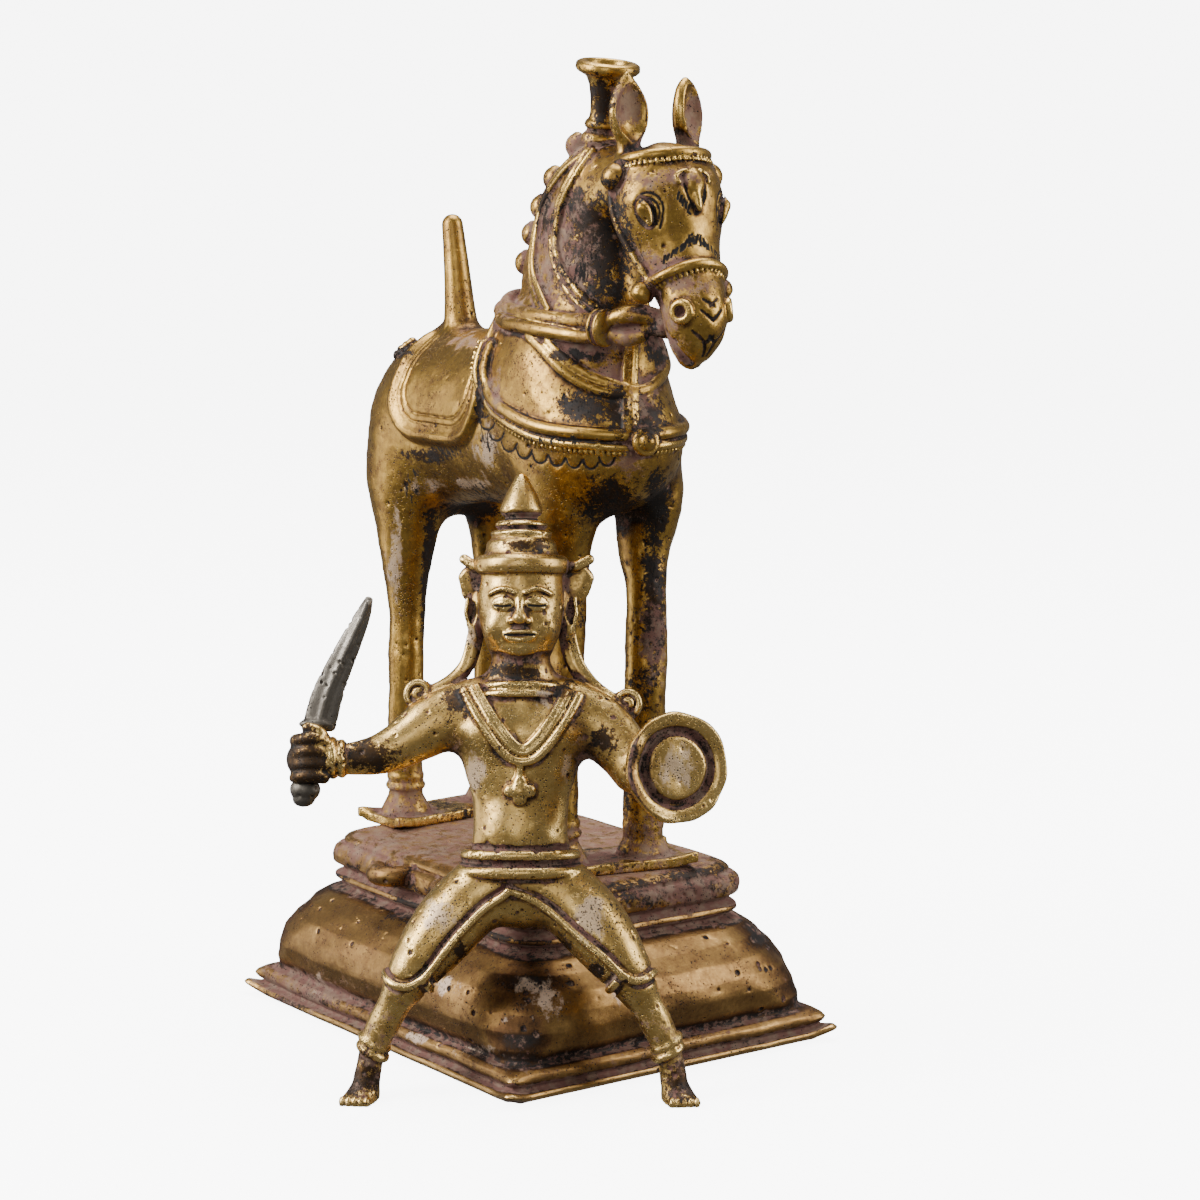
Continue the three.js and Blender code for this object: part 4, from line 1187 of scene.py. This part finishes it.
# Distance inside the outline and height, from the underside up
PROFILE = [
    [6.0, 0], [3.6, 0.2], [1.6, 1.0], [0.8, 2.0], [1.2, 3.0], [3.0, 3.5], [3.6, 4.1], [2.4, 5.0], [1.7, 6.2],
    [1.9, 7.6], [3.0, 8.7], [4.7, 9.2], [5.1, 9.9], [3.7, 13.0], [3.2, 17.5], [3.9, 22.0], [6.0, 26.6],
    [9.4, 30.4], [13.6, 33.0], [16.6, 33.9], [18.6, 34.4], [18.9, 35.2], [17.4, 35.9], [16.6, 36.9],
    [16.9, 38.0], [18.4, 38.8], [19.2, 39.6], [18.2, 40.4], [16.7, 41.4], [16.4, 43.6], [16.7, 45.6],
    [17.6, 46.6], [18.6, 47.1], [18.4, 47.9], [19.0, 48.8], [20.4, 49.5], [23.0, 50.0],
]
# Height, and how round the four corners are there; then where the two on the left are rounder still
CORNER_ROUNDING = [
    [0, 3], [8, 4], [11, 11], [16, 18], [22, 23], [28, 25], [33, 18], [38, 11.5], [45, 11], [50, 13],
]
CORNER_SOFTENING = [[0, 0], [9, 0], [16, 1], [28, 1], [34, 0.2], [36, 0], [50, 0]]
# Picture points and radii of the casting holes
HOLES = [((340, 890), 1.0), ((353, 895), 0.8), ((544, 930), 1.2), ((530, 927), 0.7), ((318, 931), 0.7)]


def plinth_body():
    """The outline swept round the plinth, bellied on its sides, with drawn-out tips at the foot's corners."""
    half = np.array([PLINTH_WIDTH / 2, PLINTH_LENGTH / 2])
    corners = smooth(CORNER_ROUNDING, 60)
    softer = smooth(CORNER_SOFTENING, 40)
    section = outline([[-60, 0]] + [[-inset, z] for inset, z in PROFILE] + [[-60, PLINTH_HEIGHT]])

    def distance(x, y, z):
        wave = 0.35 * np.sin(x * 0.11 + 1.3) * np.sin(z * 0.19 + 0.4) + 0.3 * np.sin(y * 0.13 + z * 0.07)
        wave = wave + 0.16 * np.sin(x * 0.31 + y * 0.27 + z * 0.4)
        along = np.minimum(np.abs(x) / half[0], np.abs(y) / half[1])
        tip = np.clip((along - 0.84) / 0.14, 0, 1) ** 2
        low = np.clip(1 - z / 9, 0, 1)
        rise = z - 3.0 * tip * np.clip(z / 1.2, 0, 1) * low
        a, b = np.abs(x) - half[0], np.abs(y) - half[1]
        corner = np.interp(z, *corners.T).astype(np.float32)
        corner = corner + 4 * np.clip(x / 40, 0, 1) * np.interp(z, *softer.T).astype(np.float32)
        near = np.maximum(corner - np.abs(a - b), 0)
        side = np.maximum(a, b) + near * near * 0.25 / corner
        belly = np.clip((z - 9) / 10, 0, 1) * np.clip((36 - z) / 10, 0, 1)
        swell = 1.6 * belly * np.clip(1 - along ** 2, 0, 1)
        side = side - swell - 3.6 * tip * low + wave * np.clip(z / 4, 0, 1)
        return section(side, rise)

    reach = half + 3
    return distance, np.array([*-reach, 0]), np.array([*reach, PLINTH_HEIGHT])


def make_plinth():
    field = Field((-59, -73, -2.1), (59, 73, 53), step)
    field.add(plinth_body())
    side = -PLINTH_WIDTH / 2 + BLOCK_INSET
    angles = np.linspace(0.55, 2 * math.pi - 0.55, 24) + math.pi / 2
    lug = [[side - 2 + 4.6 * math.cos(angle), 12 + 4.8 * math.sin(angle), 45.0] for angle in angles]
    field.add(cord(lug, 2.9), 0.5)
    field.add(ball((side, -10, 44.2), (2.6, 5.4, 2.2)), 0.8)
    holes = seen(field, [place for place, _ in HOLES])
    for place, (_, size) in zip(holes, HOLES):
        field.cut(ball(place, size), 0.2)
    casting_pits(field, 600, 41, (-55, -69, 1), (55, 69, 50), (0.3, 0.75))
    stop_at_ground(field)
    return field


# From fields to meshes

def whole(vertices, quads):
    """The largest shell alone."""
    label = np.arange(len(vertices))
    while True:
        least = label[quads].min(1)
        before = label.copy()
        for k in range(4):
            np.minimum.at(label, quads[:, k], least)
        label = label[label]
        if np.array_equal(label, before):
            break
    names, counts = np.unique(label, return_counts=True)
    keep = label == names[counts.argmax()]
    number = np.cumsum(keep) - 1
    return vertices[keep], number[quads[keep[quads[:, 0]]]]


def make_mesh(name, vertices, quads):
    """A mesh of quads."""
    mesh = bpy.data.meshes.new(name)
    mesh.vertices.add(len(vertices))
    mesh.vertices.foreach_set("co", vertices.astype(np.float32).ravel())
    mesh.loops.add(quads.size)
    mesh.loops.foreach_set("vertex_index", quads.astype(np.int32).ravel())
    mesh.polygons.add(len(quads))
    mesh.polygons.foreach_set("loop_start", np.arange(0, quads.size, 4, dtype=np.int32))
    mesh.update(calc_edges=True)
    return mesh


def lighter(name, mesh, triangles):
    """The mesh with no more than so many triangles, the most where it bends the most."""
    piece = bpy.data.objects.new(name, mesh)
    bpy.context.scene.collection.objects.link(piece)
    count = 2 * len(mesh.polygons)
    if count > triangles:
        modifier = piece.modifiers.new("fewer", "DECIMATE")
        modifier.ratio = triangles / count
        result = bpy.data.meshes.new_from_object(piece.evaluated_get(bpy.context.evaluated_depsgraph_get()))
        piece.modifiers.clear()
        piece.data = result
        piece.data.name = name
    return piece


def hollows(field, points, normals):
    """How deep each point lies in a hollow, and how much it stands out on an edge, from 0 to 1."""
    # The hollow measure reaches 7 mm off the surface, so it darkens fine crevices as patina, and deeper
    # recesses, the undersides of straps and the gaps between parts as painted shade
    hollow = np.zeros(len(points))
    for reach, weight in ((0.8, 0.26), (1.8, 0.32), (3.6, 0.26), (7.0, 0.16)):
        away = field.sample(points + normals * reach)
        hollow += weight * np.clip(1 - away / reach, 0, 1)
    edge = np.zeros(len(points))
    for reach, weight in ((0.8, 0.5), (1.8, 0.5)):
        inside = field.sample(points - normals * reach)
        edge += weight * np.clip(1 + inside / reach, 0, 1)
    return hollow, edge


def inked(field, points, reach=1.5):
    """1 on the engraved lines, falling to 0 beside them."""
    if not field.lines:
        return np.zeros(len(points))
    marks = np.concatenate(field.lines)
    tree = kdtree.KDTree(len(marks))
    for i, mark in enumerate(marks):
        tree.insert(mark, i)
    tree.balance()
    away = np.array([tree.find(point)[2] for point in points.tolist()])
    return np.clip(1 - away / reach, 0, 1)


def cast(name, field, turn=np.eye(3), origin=np.zeros(3), zones=None):
    """A field's surface as a piece of the scene, with what its material reads from it."""
    vertices, quads = whole(*field.net())
    piece = lighter(name + "_cast", make_mesh(name + "_cast", vertices, quads), TRIANGLES[name])
    mesh = piece.data
    points = np.empty(len(mesh.vertices) * 3)
    mesh.vertices.foreach_get("co", points)
    points = points.reshape(-1, 3)
    normals = field.normal(points, 0.5)
    hollow, edge = hollows(field, points, normals)
    world = points @ turn.T + origin
    values = {"hollow": hollow, "ink": inked(field, points)}
    values.update(zones(world, points))
    shaded = np.clip(hollow - 0.12, 0, 1)
    values["edge"] = np.clip(edge - shaded, 0, 1) * (1 - 0.35 * values["red"])
    for key, numbers in values.items():
        attribute = mesh.attributes.new(key, "FLOAT", "POINT")
        attribute.data.foreach_set("value", numbers.astype(np.float32))
    mesh.vertices.foreach_set("co", ((world + SHIFT) / METRE).astype(np.float32).ravel())
    mesh.polygons.foreach_set("use_smooth", np.ones(len(mesh.polygons), bool))
    mesh.update()
    return piece


def pictured(points):
    """The picture points at which places appear."""
    away = points - CAMERA_PLACE
    scale = FOCAL / (away @ FORWARD)
    return PICTURE / 2 + np.stack([away @ RIGHT * scale, -(away @ UPWARD) * scale], 1)


def patches(points, spots):
    """1 inside patches given by picture point, half-width and half-height, falling to 0 outside them."""
    place = pictured(points)
    total = np.zeros(len(points))
    for x, y, wide, tall in spots:
        away = ((place[:, 0] - x) / wide) ** 2 + ((place[:, 1] - y) / tall) ** 2
        total = np.maximum(total, np.exp(-away))
    return total


def ramp(values, low, high):
    return np.clip((values - low) / (high - low), 0, 1)


# Patches of patina, residue and rubbing, some of them painted shade and shadow: picture point, half-width and
# half-height

# Dark patches: patina on the neck and chest, and painted shade between the front legs, on the inner side of a
# foreleg, under the belly and under the saddle cloth
HORSE_PATINA_AND_SHADE = [(592, 245, 44, 70), (580, 215, 22, 34), (600, 102, 22, 30), (584, 408, 34, 16),
              (616, 410, 16, 28), (655, 345, 14, 30), (612, 500, 30, 28), (657, 510, 16, 40),
              (480, 510, 32, 12), (545, 215, 10, 40), (430, 575, 8, 70), (655, 600, 12, 80),
              (700, 372, 14, 6), (575, 354, 44, 9), (650, 415, 20, 26), (395, 352, 18, 8),
              (425, 455, 30, 8), (480, 400, 6, 30)]
HORSE_RED = [(640, 182, 24, 12), (680, 178, 34, 12), (652, 262, 30, 16), (690, 285, 34, 12),
             (664, 322, 18, 20), (622, 330, 26, 16), (628, 104, 18, 26), (697, 116, 14, 26),
             (680, 350, 14, 18), (628, 462, 22, 16), (655, 640, 18, 60), (618, 345, 36, 14),
             (560, 250, 46, 80), (505, 300, 26, 26), (465, 340, 24, 12), (612, 372, 34, 18),
             (640, 400, 20, 30), (575, 150, 26, 24), (496, 395, 8, 30)]
HORSE_EARS = [(626, 107, 13, 20), (693, 112, 8, 20)]
HORSE_RUBBED = [(487, 448, 15, 36), (425, 488, 30, 12), (470, 484, 26, 8), (396, 560, 9, 60)]
HORSE_STROKES = [(440, 452, 46, 12), (412, 490, 18, 40), (480, 490, 40, 16), (560, 440, 70, 10),
                 (432, 560, 10, 50), (610, 500, 26, 30), (655, 540, 14, 60), (575, 402, 36, 14),
                 (585, 270, 40, 40), (487, 440, 14, 30)]
RIDER_SAND = [(474, 770, 18, 28), (575, 765, 20, 20), (545, 700, 16, 14), (677, 768, 26, 32),
              (590, 920, 22, 30), (440, 915, 20, 26), (470, 640, 12, 16)]
RIDER_DARK = [(370, 755, 34, 20), (305, 765, 34, 50), (516, 672, 34, 10), (360, 1075, 26, 30),
              (682, 1080, 24, 26), (605, 740, 16, 16), (526, 545, 30, 8), (560, 690, 20, 12),
              (455, 700, 16, 14), (462, 953, 10, 12), (445, 977, 9, 9), (562, 946, 10, 12),
              (594, 971, 10, 9)]
PLINTH_RESIDUE = [(317, 984, 10, 16), (448, 985, 14, 14), (526, 985, 20, 12), (501, 1020, 12, 8),
                  (480, 1050, 30, 8), (420, 1036, 18, 8), (545, 1000, 26, 30), (620, 985, 16, 20)]
# Dark patches: patina, with painted shade on the plinth between the rider's legs and painted shadow under the
# lifted lip at its lower left edge
PLINTH_PATINA_AND_SHADE = [(490, 930, 60, 18), (345, 872, 26, 10), (420, 905, 18, 12), (410, 900, 26, 26),
               (660, 890, 70, 16), (310, 1000, 40, 10), (700, 880, 40, 24)]
PLINTH_RED = [(440, 835, 90, 18), (640, 860, 70, 12), (690, 890, 56, 20), (380, 850, 44, 22),
              (300, 990, 60, 20), (520, 880, 60, 30)]
PLINTH_BRIGHT = [(393, 878, 30, 15)]


def horse_zones(world, points):
    x, y, z = world.T
    feet = ramp(-z, -72, -62)
    # Painted shade between the legs and under the belly: darker low down near the middle plane
    inner = ramp(-z, -150, -120) * ramp(-np.abs(x), -14, -6)
    return {
        "dark": np.clip(patches(world, HORSE_PATINA_AND_SHADE) + 0.5 * inner, 0, 1),
        "red": np.clip(patches(world, HORSE_RED) + 0.8 * feet, 0, 1) + patches(world, HORSE_EARS),
        "pale": patches(world, HORSE_RUBBED),
        "strokes": patches(world, HORSE_STROKES),
    }


def rider_zones(world, points):
    # Dark patches, and darker towards the rider's back
    back = ramp(points[:, 1], 0, 6)
    return {
        "dark": np.clip(patches(world, RIDER_DARK) + 0.3 * back, 0, 1),
        "red": 0.2 + 0.4 * ramp(-points[:, 2], -30, -20),
        "pale": patches(world, RIDER_SAND),
        "strokes": np.zeros(len(points)),
    }


def plinth_zones(world, points):
    z = world[:, 2]
    ledge = ramp(z, 33, 35) * ramp(-z, -49.6, -47)
    rim = ramp(-z, -9.6, -8.2)
    top = ramp(z, 49.2, 49.9)
    dulled = 1 - patches(world, PLINTH_BRIGHT)
    red = 0.4 * ledge + 0.4 * rim + 0.9 * top + 0.8 * patches(world, PLINTH_RED)
    return {
        "dark": patches(world, PLINTH_PATINA_AND_SHADE) * dulled,
        "red": np.clip(red, 0, 1) * dulled,
        "pale": patches(world, PLINTH_RESIDUE),
        "strokes": np.zeros(len(points)),
    }


def sword_zones(world, points):
    none = np.zeros(len(points))
    return {"dark": np.ones(len(points)), "red": none, "pale": none, "strokes": none}


# Materials

class Shader:
    """Nodes of one material, joined as they are made."""

    def __init__(self, name):
        self.material = bpy.data.materials.new(name)
        self.material.use_nodes = True
        self.tree = self.material.node_tree
        self.surface = self.tree.nodes["Principled BSDF"]
        self.place = self.node("ShaderNodeTexCoord").outputs["Object"]

    def node(self, kind, **settings):
        made = self.tree.nodes.new(kind)
        for key, value in settings.items():
            setattr(made, key, value)
        return made

    def put(self, socket, value):
        if isinstance(value, bpy.types.NodeSocket):
            self.tree.links.new(value, socket)
        else:
            socket.default_value = value

    def math(self, operation, *values, clamp=False):
        made = self.node("ShaderNodeMath", operation=operation, use_clamp=clamp)
        for socket, value in zip(made.inputs, values):
            self.put(socket, value)
        return made.outputs[0]

    def times(self, first, second):
        return self.math("MULTIPLY", first, second)

    def plus(self, value, *layers):
        """A value with layers on top of it, each times its share."""
        for layer, share in layers:
            value = self.math("ADD", value, self.times(layer, share))
        return value

    def without(self, value, layer, share=1.0):
        """A value that fades where a layer lies."""
        return self.times(value, self.math("SUBTRACT", 1.0, self.times(layer, share)))

    def value(self, name):
        return self.node("ShaderNodeAttribute", attribute_name=name).outputs["Fac"]

    def noise(self, scale, detail=4.0, roughness=0.55, shift=0.0, stretch=(1, 1, 1)):
        place = self.node("ShaderNodeMapping")
        self.put(place.inputs["Vector"], self.place)
        place.inputs["Location"].default_value = (shift, shift * 0.7, shift * 1.3)
        place.inputs["Scale"].default_value = stretch
        made = self.node("ShaderNodeTexNoise")
        self.put(made.inputs["Vector"], place.outputs[0])
        made.inputs["Scale"].default_value = scale
        made.inputs["Detail"].default_value = detail
        made.inputs["Roughness"].default_value = roughness
        return made.outputs["Fac"]

    def grain(self, *settings):
        """Noise about zero."""
        return self.math("SUBTRACT", self.noise(*settings), 0.5)

    def cells(self, scale):
        made = self.node("ShaderNodeTexVoronoi")
        self.put(made.inputs["Vector"], self.place)
        made.inputs["Scale"].default_value = scale
        return made.outputs["Distance"], made.outputs["Color"]

    def between(self, value, low, high):
        """0 below the low value and 1 above the high one, with a soft step between."""
        made = self.node("ShaderNodeMapRange", interpolation_type="SMOOTHSTEP")
        for key, number in (("Value", value), ("From Min", low), ("From Max", high)):
            self.put(made.inputs[key], number)
        return made.outputs[0]

    def ramp(self, value, stops):
        made = self.node("ShaderNodeValToRGB")
        self.put(made.inputs[0], value)
        while len(made.color_ramp.elements) < len(stops):
            made.color_ramp.elements.new(0.5)
        for element, (place, colour) in zip(made.color_ramp.elements, stops):
            element.position = place
            element.color = (*colour, 1)
        return made.outputs[0]

    def blend(self, amount, first, second):
        made = self.node("ShaderNodeMix", data_type="RGBA")
        self.put(made.inputs[0], amount)
        self.put(made.inputs[6], first)
        self.put(made.inputs[7], second)
        return made.outputs[2]


BLACK = (0.008, 0.006, 0.005, 1)
PALE = (0.74, 0.56, 0.42, 1)
RESIDUE = (0.21, 0.1, 0.076, 1)
DRY_RESIDUE = (0.27, 0.175, 0.125, 1)
BUMP_HEIGHT = 0.0004


def tarnish_and_shade(s, layers, dark):
    """How dark the brass is, from 0 to 1: patina and painted shade in its hollows and dark patches, least on
    its worn edges.
    """
    cloud, spots, flecks, hollow, edge = layers.values()
    ragged = s.plus(cloud, (spots, 2.6), (flecks, 1.6))
    # Dark patches of patina and painted shade, with ragged edges
    shadowed = s.between(s.math("ADD", s.value("dark"), ragged), 0.42, 0.66)
    # Patina in the fine crevices, and painted shade in deeper recesses and between parts
    level = s.times(s.between(hollow, 0.03, 0.5), 0.95)
    level = s.plus(level, (cloud, 0.5), (spots, 0.7), (flecks, 0.35), (shadowed, 0.54))
    worn = s.times(edge, s.math("SUBTRACT", 0.7, s.times(shadowed, 0.4)))
    level = s.math("SUBTRACT", level, worn)
    return s.math("ADD", level, 0.3 + dark, clamp=True)


def pitting(s, layers, pits):
    """Fine round pits, crowded in some places, and small dark specks."""
    distance, chance = s.cells(1500)
    separate = s.node("ShaderNodeSeparateColor")
    s.put(separate.inputs[0], chance)
    crowd = s.plus(s.times(layers["cloud"], 2.0), (s.value("pale"), 0.35))
    chosen = s.math("ADD", separate.outputs[0], crowd)
    chosen = s.between(chosen, 1.04 - pits * 0.5, 1.12 - pits * 0.5)
    round_pits = s.without(chosen, s.between(distance, 0.2, 0.4))
    specks = s.plus(s.noise(900, 5.0, 0.78, 31.0), (crowd, 0.12))
    specks = s.between(specks, 0.68 - pits * 0.1, 0.72 - pits * 0.1)
    return s.math("MAXIMUM", round_pits, specks)


def brass(name, stops, dark=0.0, pits=0.5, chalky=0.0, dull=0.24):
    """Worn, patinated brass: bright where rubbed, dark in its hollows with patina and painted shade, pitted
    and dusted with residue.
    """
    s = Shader(name)
    layers = {
        "cloud": s.grain(95, 5.0, 0.62),
        "spots": s.grain(380, 8.0, 0.78, 3.1),
        "flecks": s.grain(1000, 6.0, 0.8, 5.1),
        "hollow": s.value("hollow"),
        "edge": s.value("edge"),
    }
    spots, hollow = layers["spots"], layers["hollow"]
    streaks = s.grain(210, 6.0, 0.7, 9.0, (1, 1, 0.28))
    strokes = s.noise(640, 4.0, 0.66, 15.0, (1, 1, 0.17))
    grit = s.grain(1700, 3.0, 0.6, 7.7)
    level = tarnish_and_shade(s, layers, dark)
    sand = s.plus(s.value("pale"), (streaks, 2.2), (spots, 1.6))
    sand = s.math("SUBTRACT", sand, hollow)
    sand = s.times(s.between(sand, 0.5, 0.85), 0.6 + chalky)
    hole = pitting(s, layers, pits)
    stroke = s.between(s.plus(strokes, (s.value("strokes"), 0.38)), 0.87, 0.92)
    black = s.math("MAXIMUM", hole, s.between(s.value("ink"), 0.68, 0.8))
    black = s.math("MAXIMUM", black, stroke)
    dust = s.times(s.between(hollow, 0.0, 0.5), 0.5)
    dust = s.plus(dust, (s.value("red"), 0.62), (s.grain(300, 8.0, 0.8, 12.0), 2.6))
    dust = s.math("SUBTRACT", dust, s.times(layers["edge"], 0.8))
    dust = s.times(s.between(dust, 0.34, 0.62), 0.85)
    tint = s.blend(s.between(s.noise(310, 3.0, 0.6, 21.0), 0.4, 0.65), RESIDUE, DRY_RESIDUE)
    colour = s.blend(sand, s.ramp(level, stops), PALE)
    colour = s.blend(dust, colour, tint)
    colour = s.blend(black, colour, BLACK)
    metal = s.math("SUBTRACT", 1.0, s.times(s.between(level, 0.7, 1.0), 0.6))
    for layer, share in ((dust, 0.85), (black, 0.9), (sand, 0.5)):
        metal = s.without(metal, layer, share)
    rough = s.math("ADD", dull, s.times(level, 0.3))
    rough = s.plus(rough, (grit, 0.2), (sand, 0.3), (dust, 0.4), (black, 0.5))
    height = s.times(spots, 0.35)
    height = s.plus(height, (hole, -1.0), (grit, 0.15), (dust, 0.3), (layers["flecks"], 0.2))
    bump = s.node("ShaderNodeBump")
    bump.inputs["Strength"].default_value = 0.5
    bump.inputs["Distance"].default_value = BUMP_HEIGHT
    s.put(bump.inputs["Height"], height)
    s.put(s.surface.inputs["Base Color"], colour)
    s.put(s.surface.inputs["Metallic"], metal)
    s.put(s.surface.inputs["Roughness"], s.math("MINIMUM", rough, 0.95))
    s.put(s.surface.inputs["Normal"], bump.outputs[0])
    return s.material


# Colours from bright to dark metal
HORSE_STOPS = [(0.0, (0.81, 0.525, 0.155)), (0.28, (0.48, 0.283, 0.064)), (0.5, (0.21, 0.112, 0.036)),
               (0.72, (0.055, 0.03, 0.016)), (1.0, (0.012, 0.008, 0.006))]
RIDER_STOPS = [(0.0, (0.84, 0.58, 0.21)), (0.3, (0.55, 0.345, 0.102)), (0.54, (0.27, 0.15, 0.055)),
               (0.76, (0.064, 0.037, 0.019)), (1.0, (0.012, 0.008, 0.006))]
PLINTH_STOPS = [(0.0, (0.62, 0.39, 0.14)), (0.28, (0.34, 0.195, 0.066)), (0.52, (0.16, 0.082, 0.034)),
                (0.76, (0.054, 0.029, 0.016)), (1.0, (0.014, 0.01, 0.008))]
SWORD_STOPS = [(0.0, (0.25, 0.225, 0.19)), (0.5, (0.11, 0.096, 0.078)), (0.8, (0.045, 0.039, 0.032)),
               (1.0, (0.016, 0.014, 0.012))]


def finish_piece(piece, node, material):
    """Gives a piece its material, and puts it in its node's place."""
    piece.data.materials.clear()
    piece.data.materials.append(material)
    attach(piece, "root")
    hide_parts(node)


horse = cast("horse", make_horse(), zones=horse_zones)
rider = cast("rider", make_rider(), RIDER, RIDER_FEET, rider_zones)
plinth = cast("plinth", make_plinth(), zones=plinth_zones)
sword = cast("sword", make_sword(), RIDER, RIDER_FEET, sword_zones)
# Each brass darkens with patina, and with painted shade in its hollows and dark patches
horse_brass = brass("horse_brass_worn_and_painted_shade", HORSE_STOPS, dark=0.07)
rider_brass = brass("rider_brass_worn_and_painted_shade", RIDER_STOPS, dark=-0.04, pits=0.75)
plinth_brass = brass("plinth_brass_worn_and_painted_shade", PLINTH_STOPS, dark=0.07, pits=0.4, chalky=0.2, dull=0.31)
sword_metal = brass("sword_metal_worn_and_painted_shade", SWORD_STOPS, dark=-0.42, pits=0.3, dull=0.36)
finish_piece(horse, "horse", horse_brass)
finish_piece(rider, "rider", rider_brass)
finish_piece(plinth, "plinth", plinth_brass)
finish_piece(sword, "sword", sword_metal)


# Floor, light and camera

FLOOR_GLOW = 7.0
LIGHT_AIM = 0.12
SKY = 0.2
SENSOR = 36


def stage_floor():
    """A pale round floor that curves up all round into a backdrop."""
    radius, bend, tall, sides = 2.1, 0.9, 2.6, 72
    section = [(0.02, 0), (0.6, 0), (radius, 0)]
    for angle in np.linspace(0, math.pi / 2, 16)[1:]:
        section.append((radius + bend * math.sin(angle), bend - bend * math.cos(angle)))
    section.append((radius + bend, tall))
    centre = SHIFT / METRE
    vertices, faces = [], []
    for run, rise in section:
        for angle in np.arange(sides) * 2 * math.pi / sides:
            vertices.append((centre[0] + run * math.cos(angle), centre[1] + run * math.sin(angle), rise))
    for i in range(len(section) - 1):
        for j in range(sides):
            k = (j + 1) % sides
            faces.append((i * sides + j, i * sides + k, (i + 1) * sides + k, (i + 1) * sides + j))
    faces.append(tuple(range(sides)))
    mesh = bpy.data.meshes.new("floor")
    mesh.from_pydata(vertices, [], faces)
    mesh.polygons.foreach_set("use_smooth", np.ones(len(faces), bool))
    floor = bpy.data.objects.new("floor", mesh)
    bpy.context.scene.collection.objects.link(floor)
    floor.visible_glossy = False
    floor.visible_diffuse = False
    s = Shader("floor_paper")
    tone = s.ramp(s.noise(2.0, 2.0), [(0.3, (0.88, 0.88, 0.88)), (0.7, (0.92, 0.92, 0.92))])
    s.put(s.surface.inputs["Base Color"], tone)
    s.surface.inputs["Roughness"].default_value = 0.9
    s.surface.inputs["Emission Color"].default_value = (1, 1, 1, 1)
    s.surface.inputs["Emission Strength"].default_value = FLOOR_GLOW
    mesh.materials.append(s.material)


def area_light(name, place, target, size, power):
    """A rectangular soft light, in metres and watts, turned towards its target."""
    light = bpy.data.lights.new(name, "AREA")
    light.shape = "RECTANGLE"
    light.size, light.size_y = size
    light.energy = power
    lamp = bpy.data.objects.new(name, light)
    bpy.context.scene.collection.objects.link(lamp)
    lamp.matrix_world = matrix(basis(place - target), place)


def matrix(columns, place):
    """A placing from three axes as columns and a place."""
    rows = np.eye(4)
    rows[:3, :3] = columns
    rows[:3, 3] = place
    return Matrix([tuple(row) for row in rows])


def light_place(right, back, up):
    """A place in metres from the object: to the picture's right, away from the camera, and up."""
    ahead = np.array([math.cos(heading), math.sin(heading), 0])
    return SHIFT / METRE + RIGHT * right + ahead * back + np.array([0, 0, up])


middle = SHIFT / METRE + np.array([0, 0, LIGHT_AIM])
area_light("key", light_place(-0.95, -0.35, 0.7), middle, (0.5, 0.9), 22)
area_light("fill", light_place(1.0, -0.2, 0.5), middle, (0.35, 0.9), 8)
area_light("top", light_place(0.1, 0.25, 1.3), middle, (0.9, 0.8), 20)
area_light("left", light_place(-1.15, 0.3, 0.15), middle, (0.28, 1.0), 3.4)
area_light("front", light_place(-0.2, -1.6, 0.6), middle, (0.4, 0.4), 3)

world = bpy.data.worlds.new("studio")
world.use_nodes = True
world.node_tree.nodes["Background"].inputs[0].default_value = (1, 1, 1, 1)
world.node_tree.nodes["Background"].inputs[1].default_value = SKY
bpy.context.scene.world = world

stage_floor()

camera = bpy.data.cameras.new("camera")
camera.sensor_width = SENSOR
camera.lens = FOCAL / PICTURE * SENSOR
camera.clip_end = 20
viewer = bpy.data.objects.new("camera", camera)
bpy.context.scene.collection.objects.link(viewer)
viewer.matrix_world = matrix(np.stack([RIGHT, UPWARD, -FORWARD], axis=1), (CAMERA_PLACE + SHIFT) / METRE)
bpy.context.scene.camera = viewer
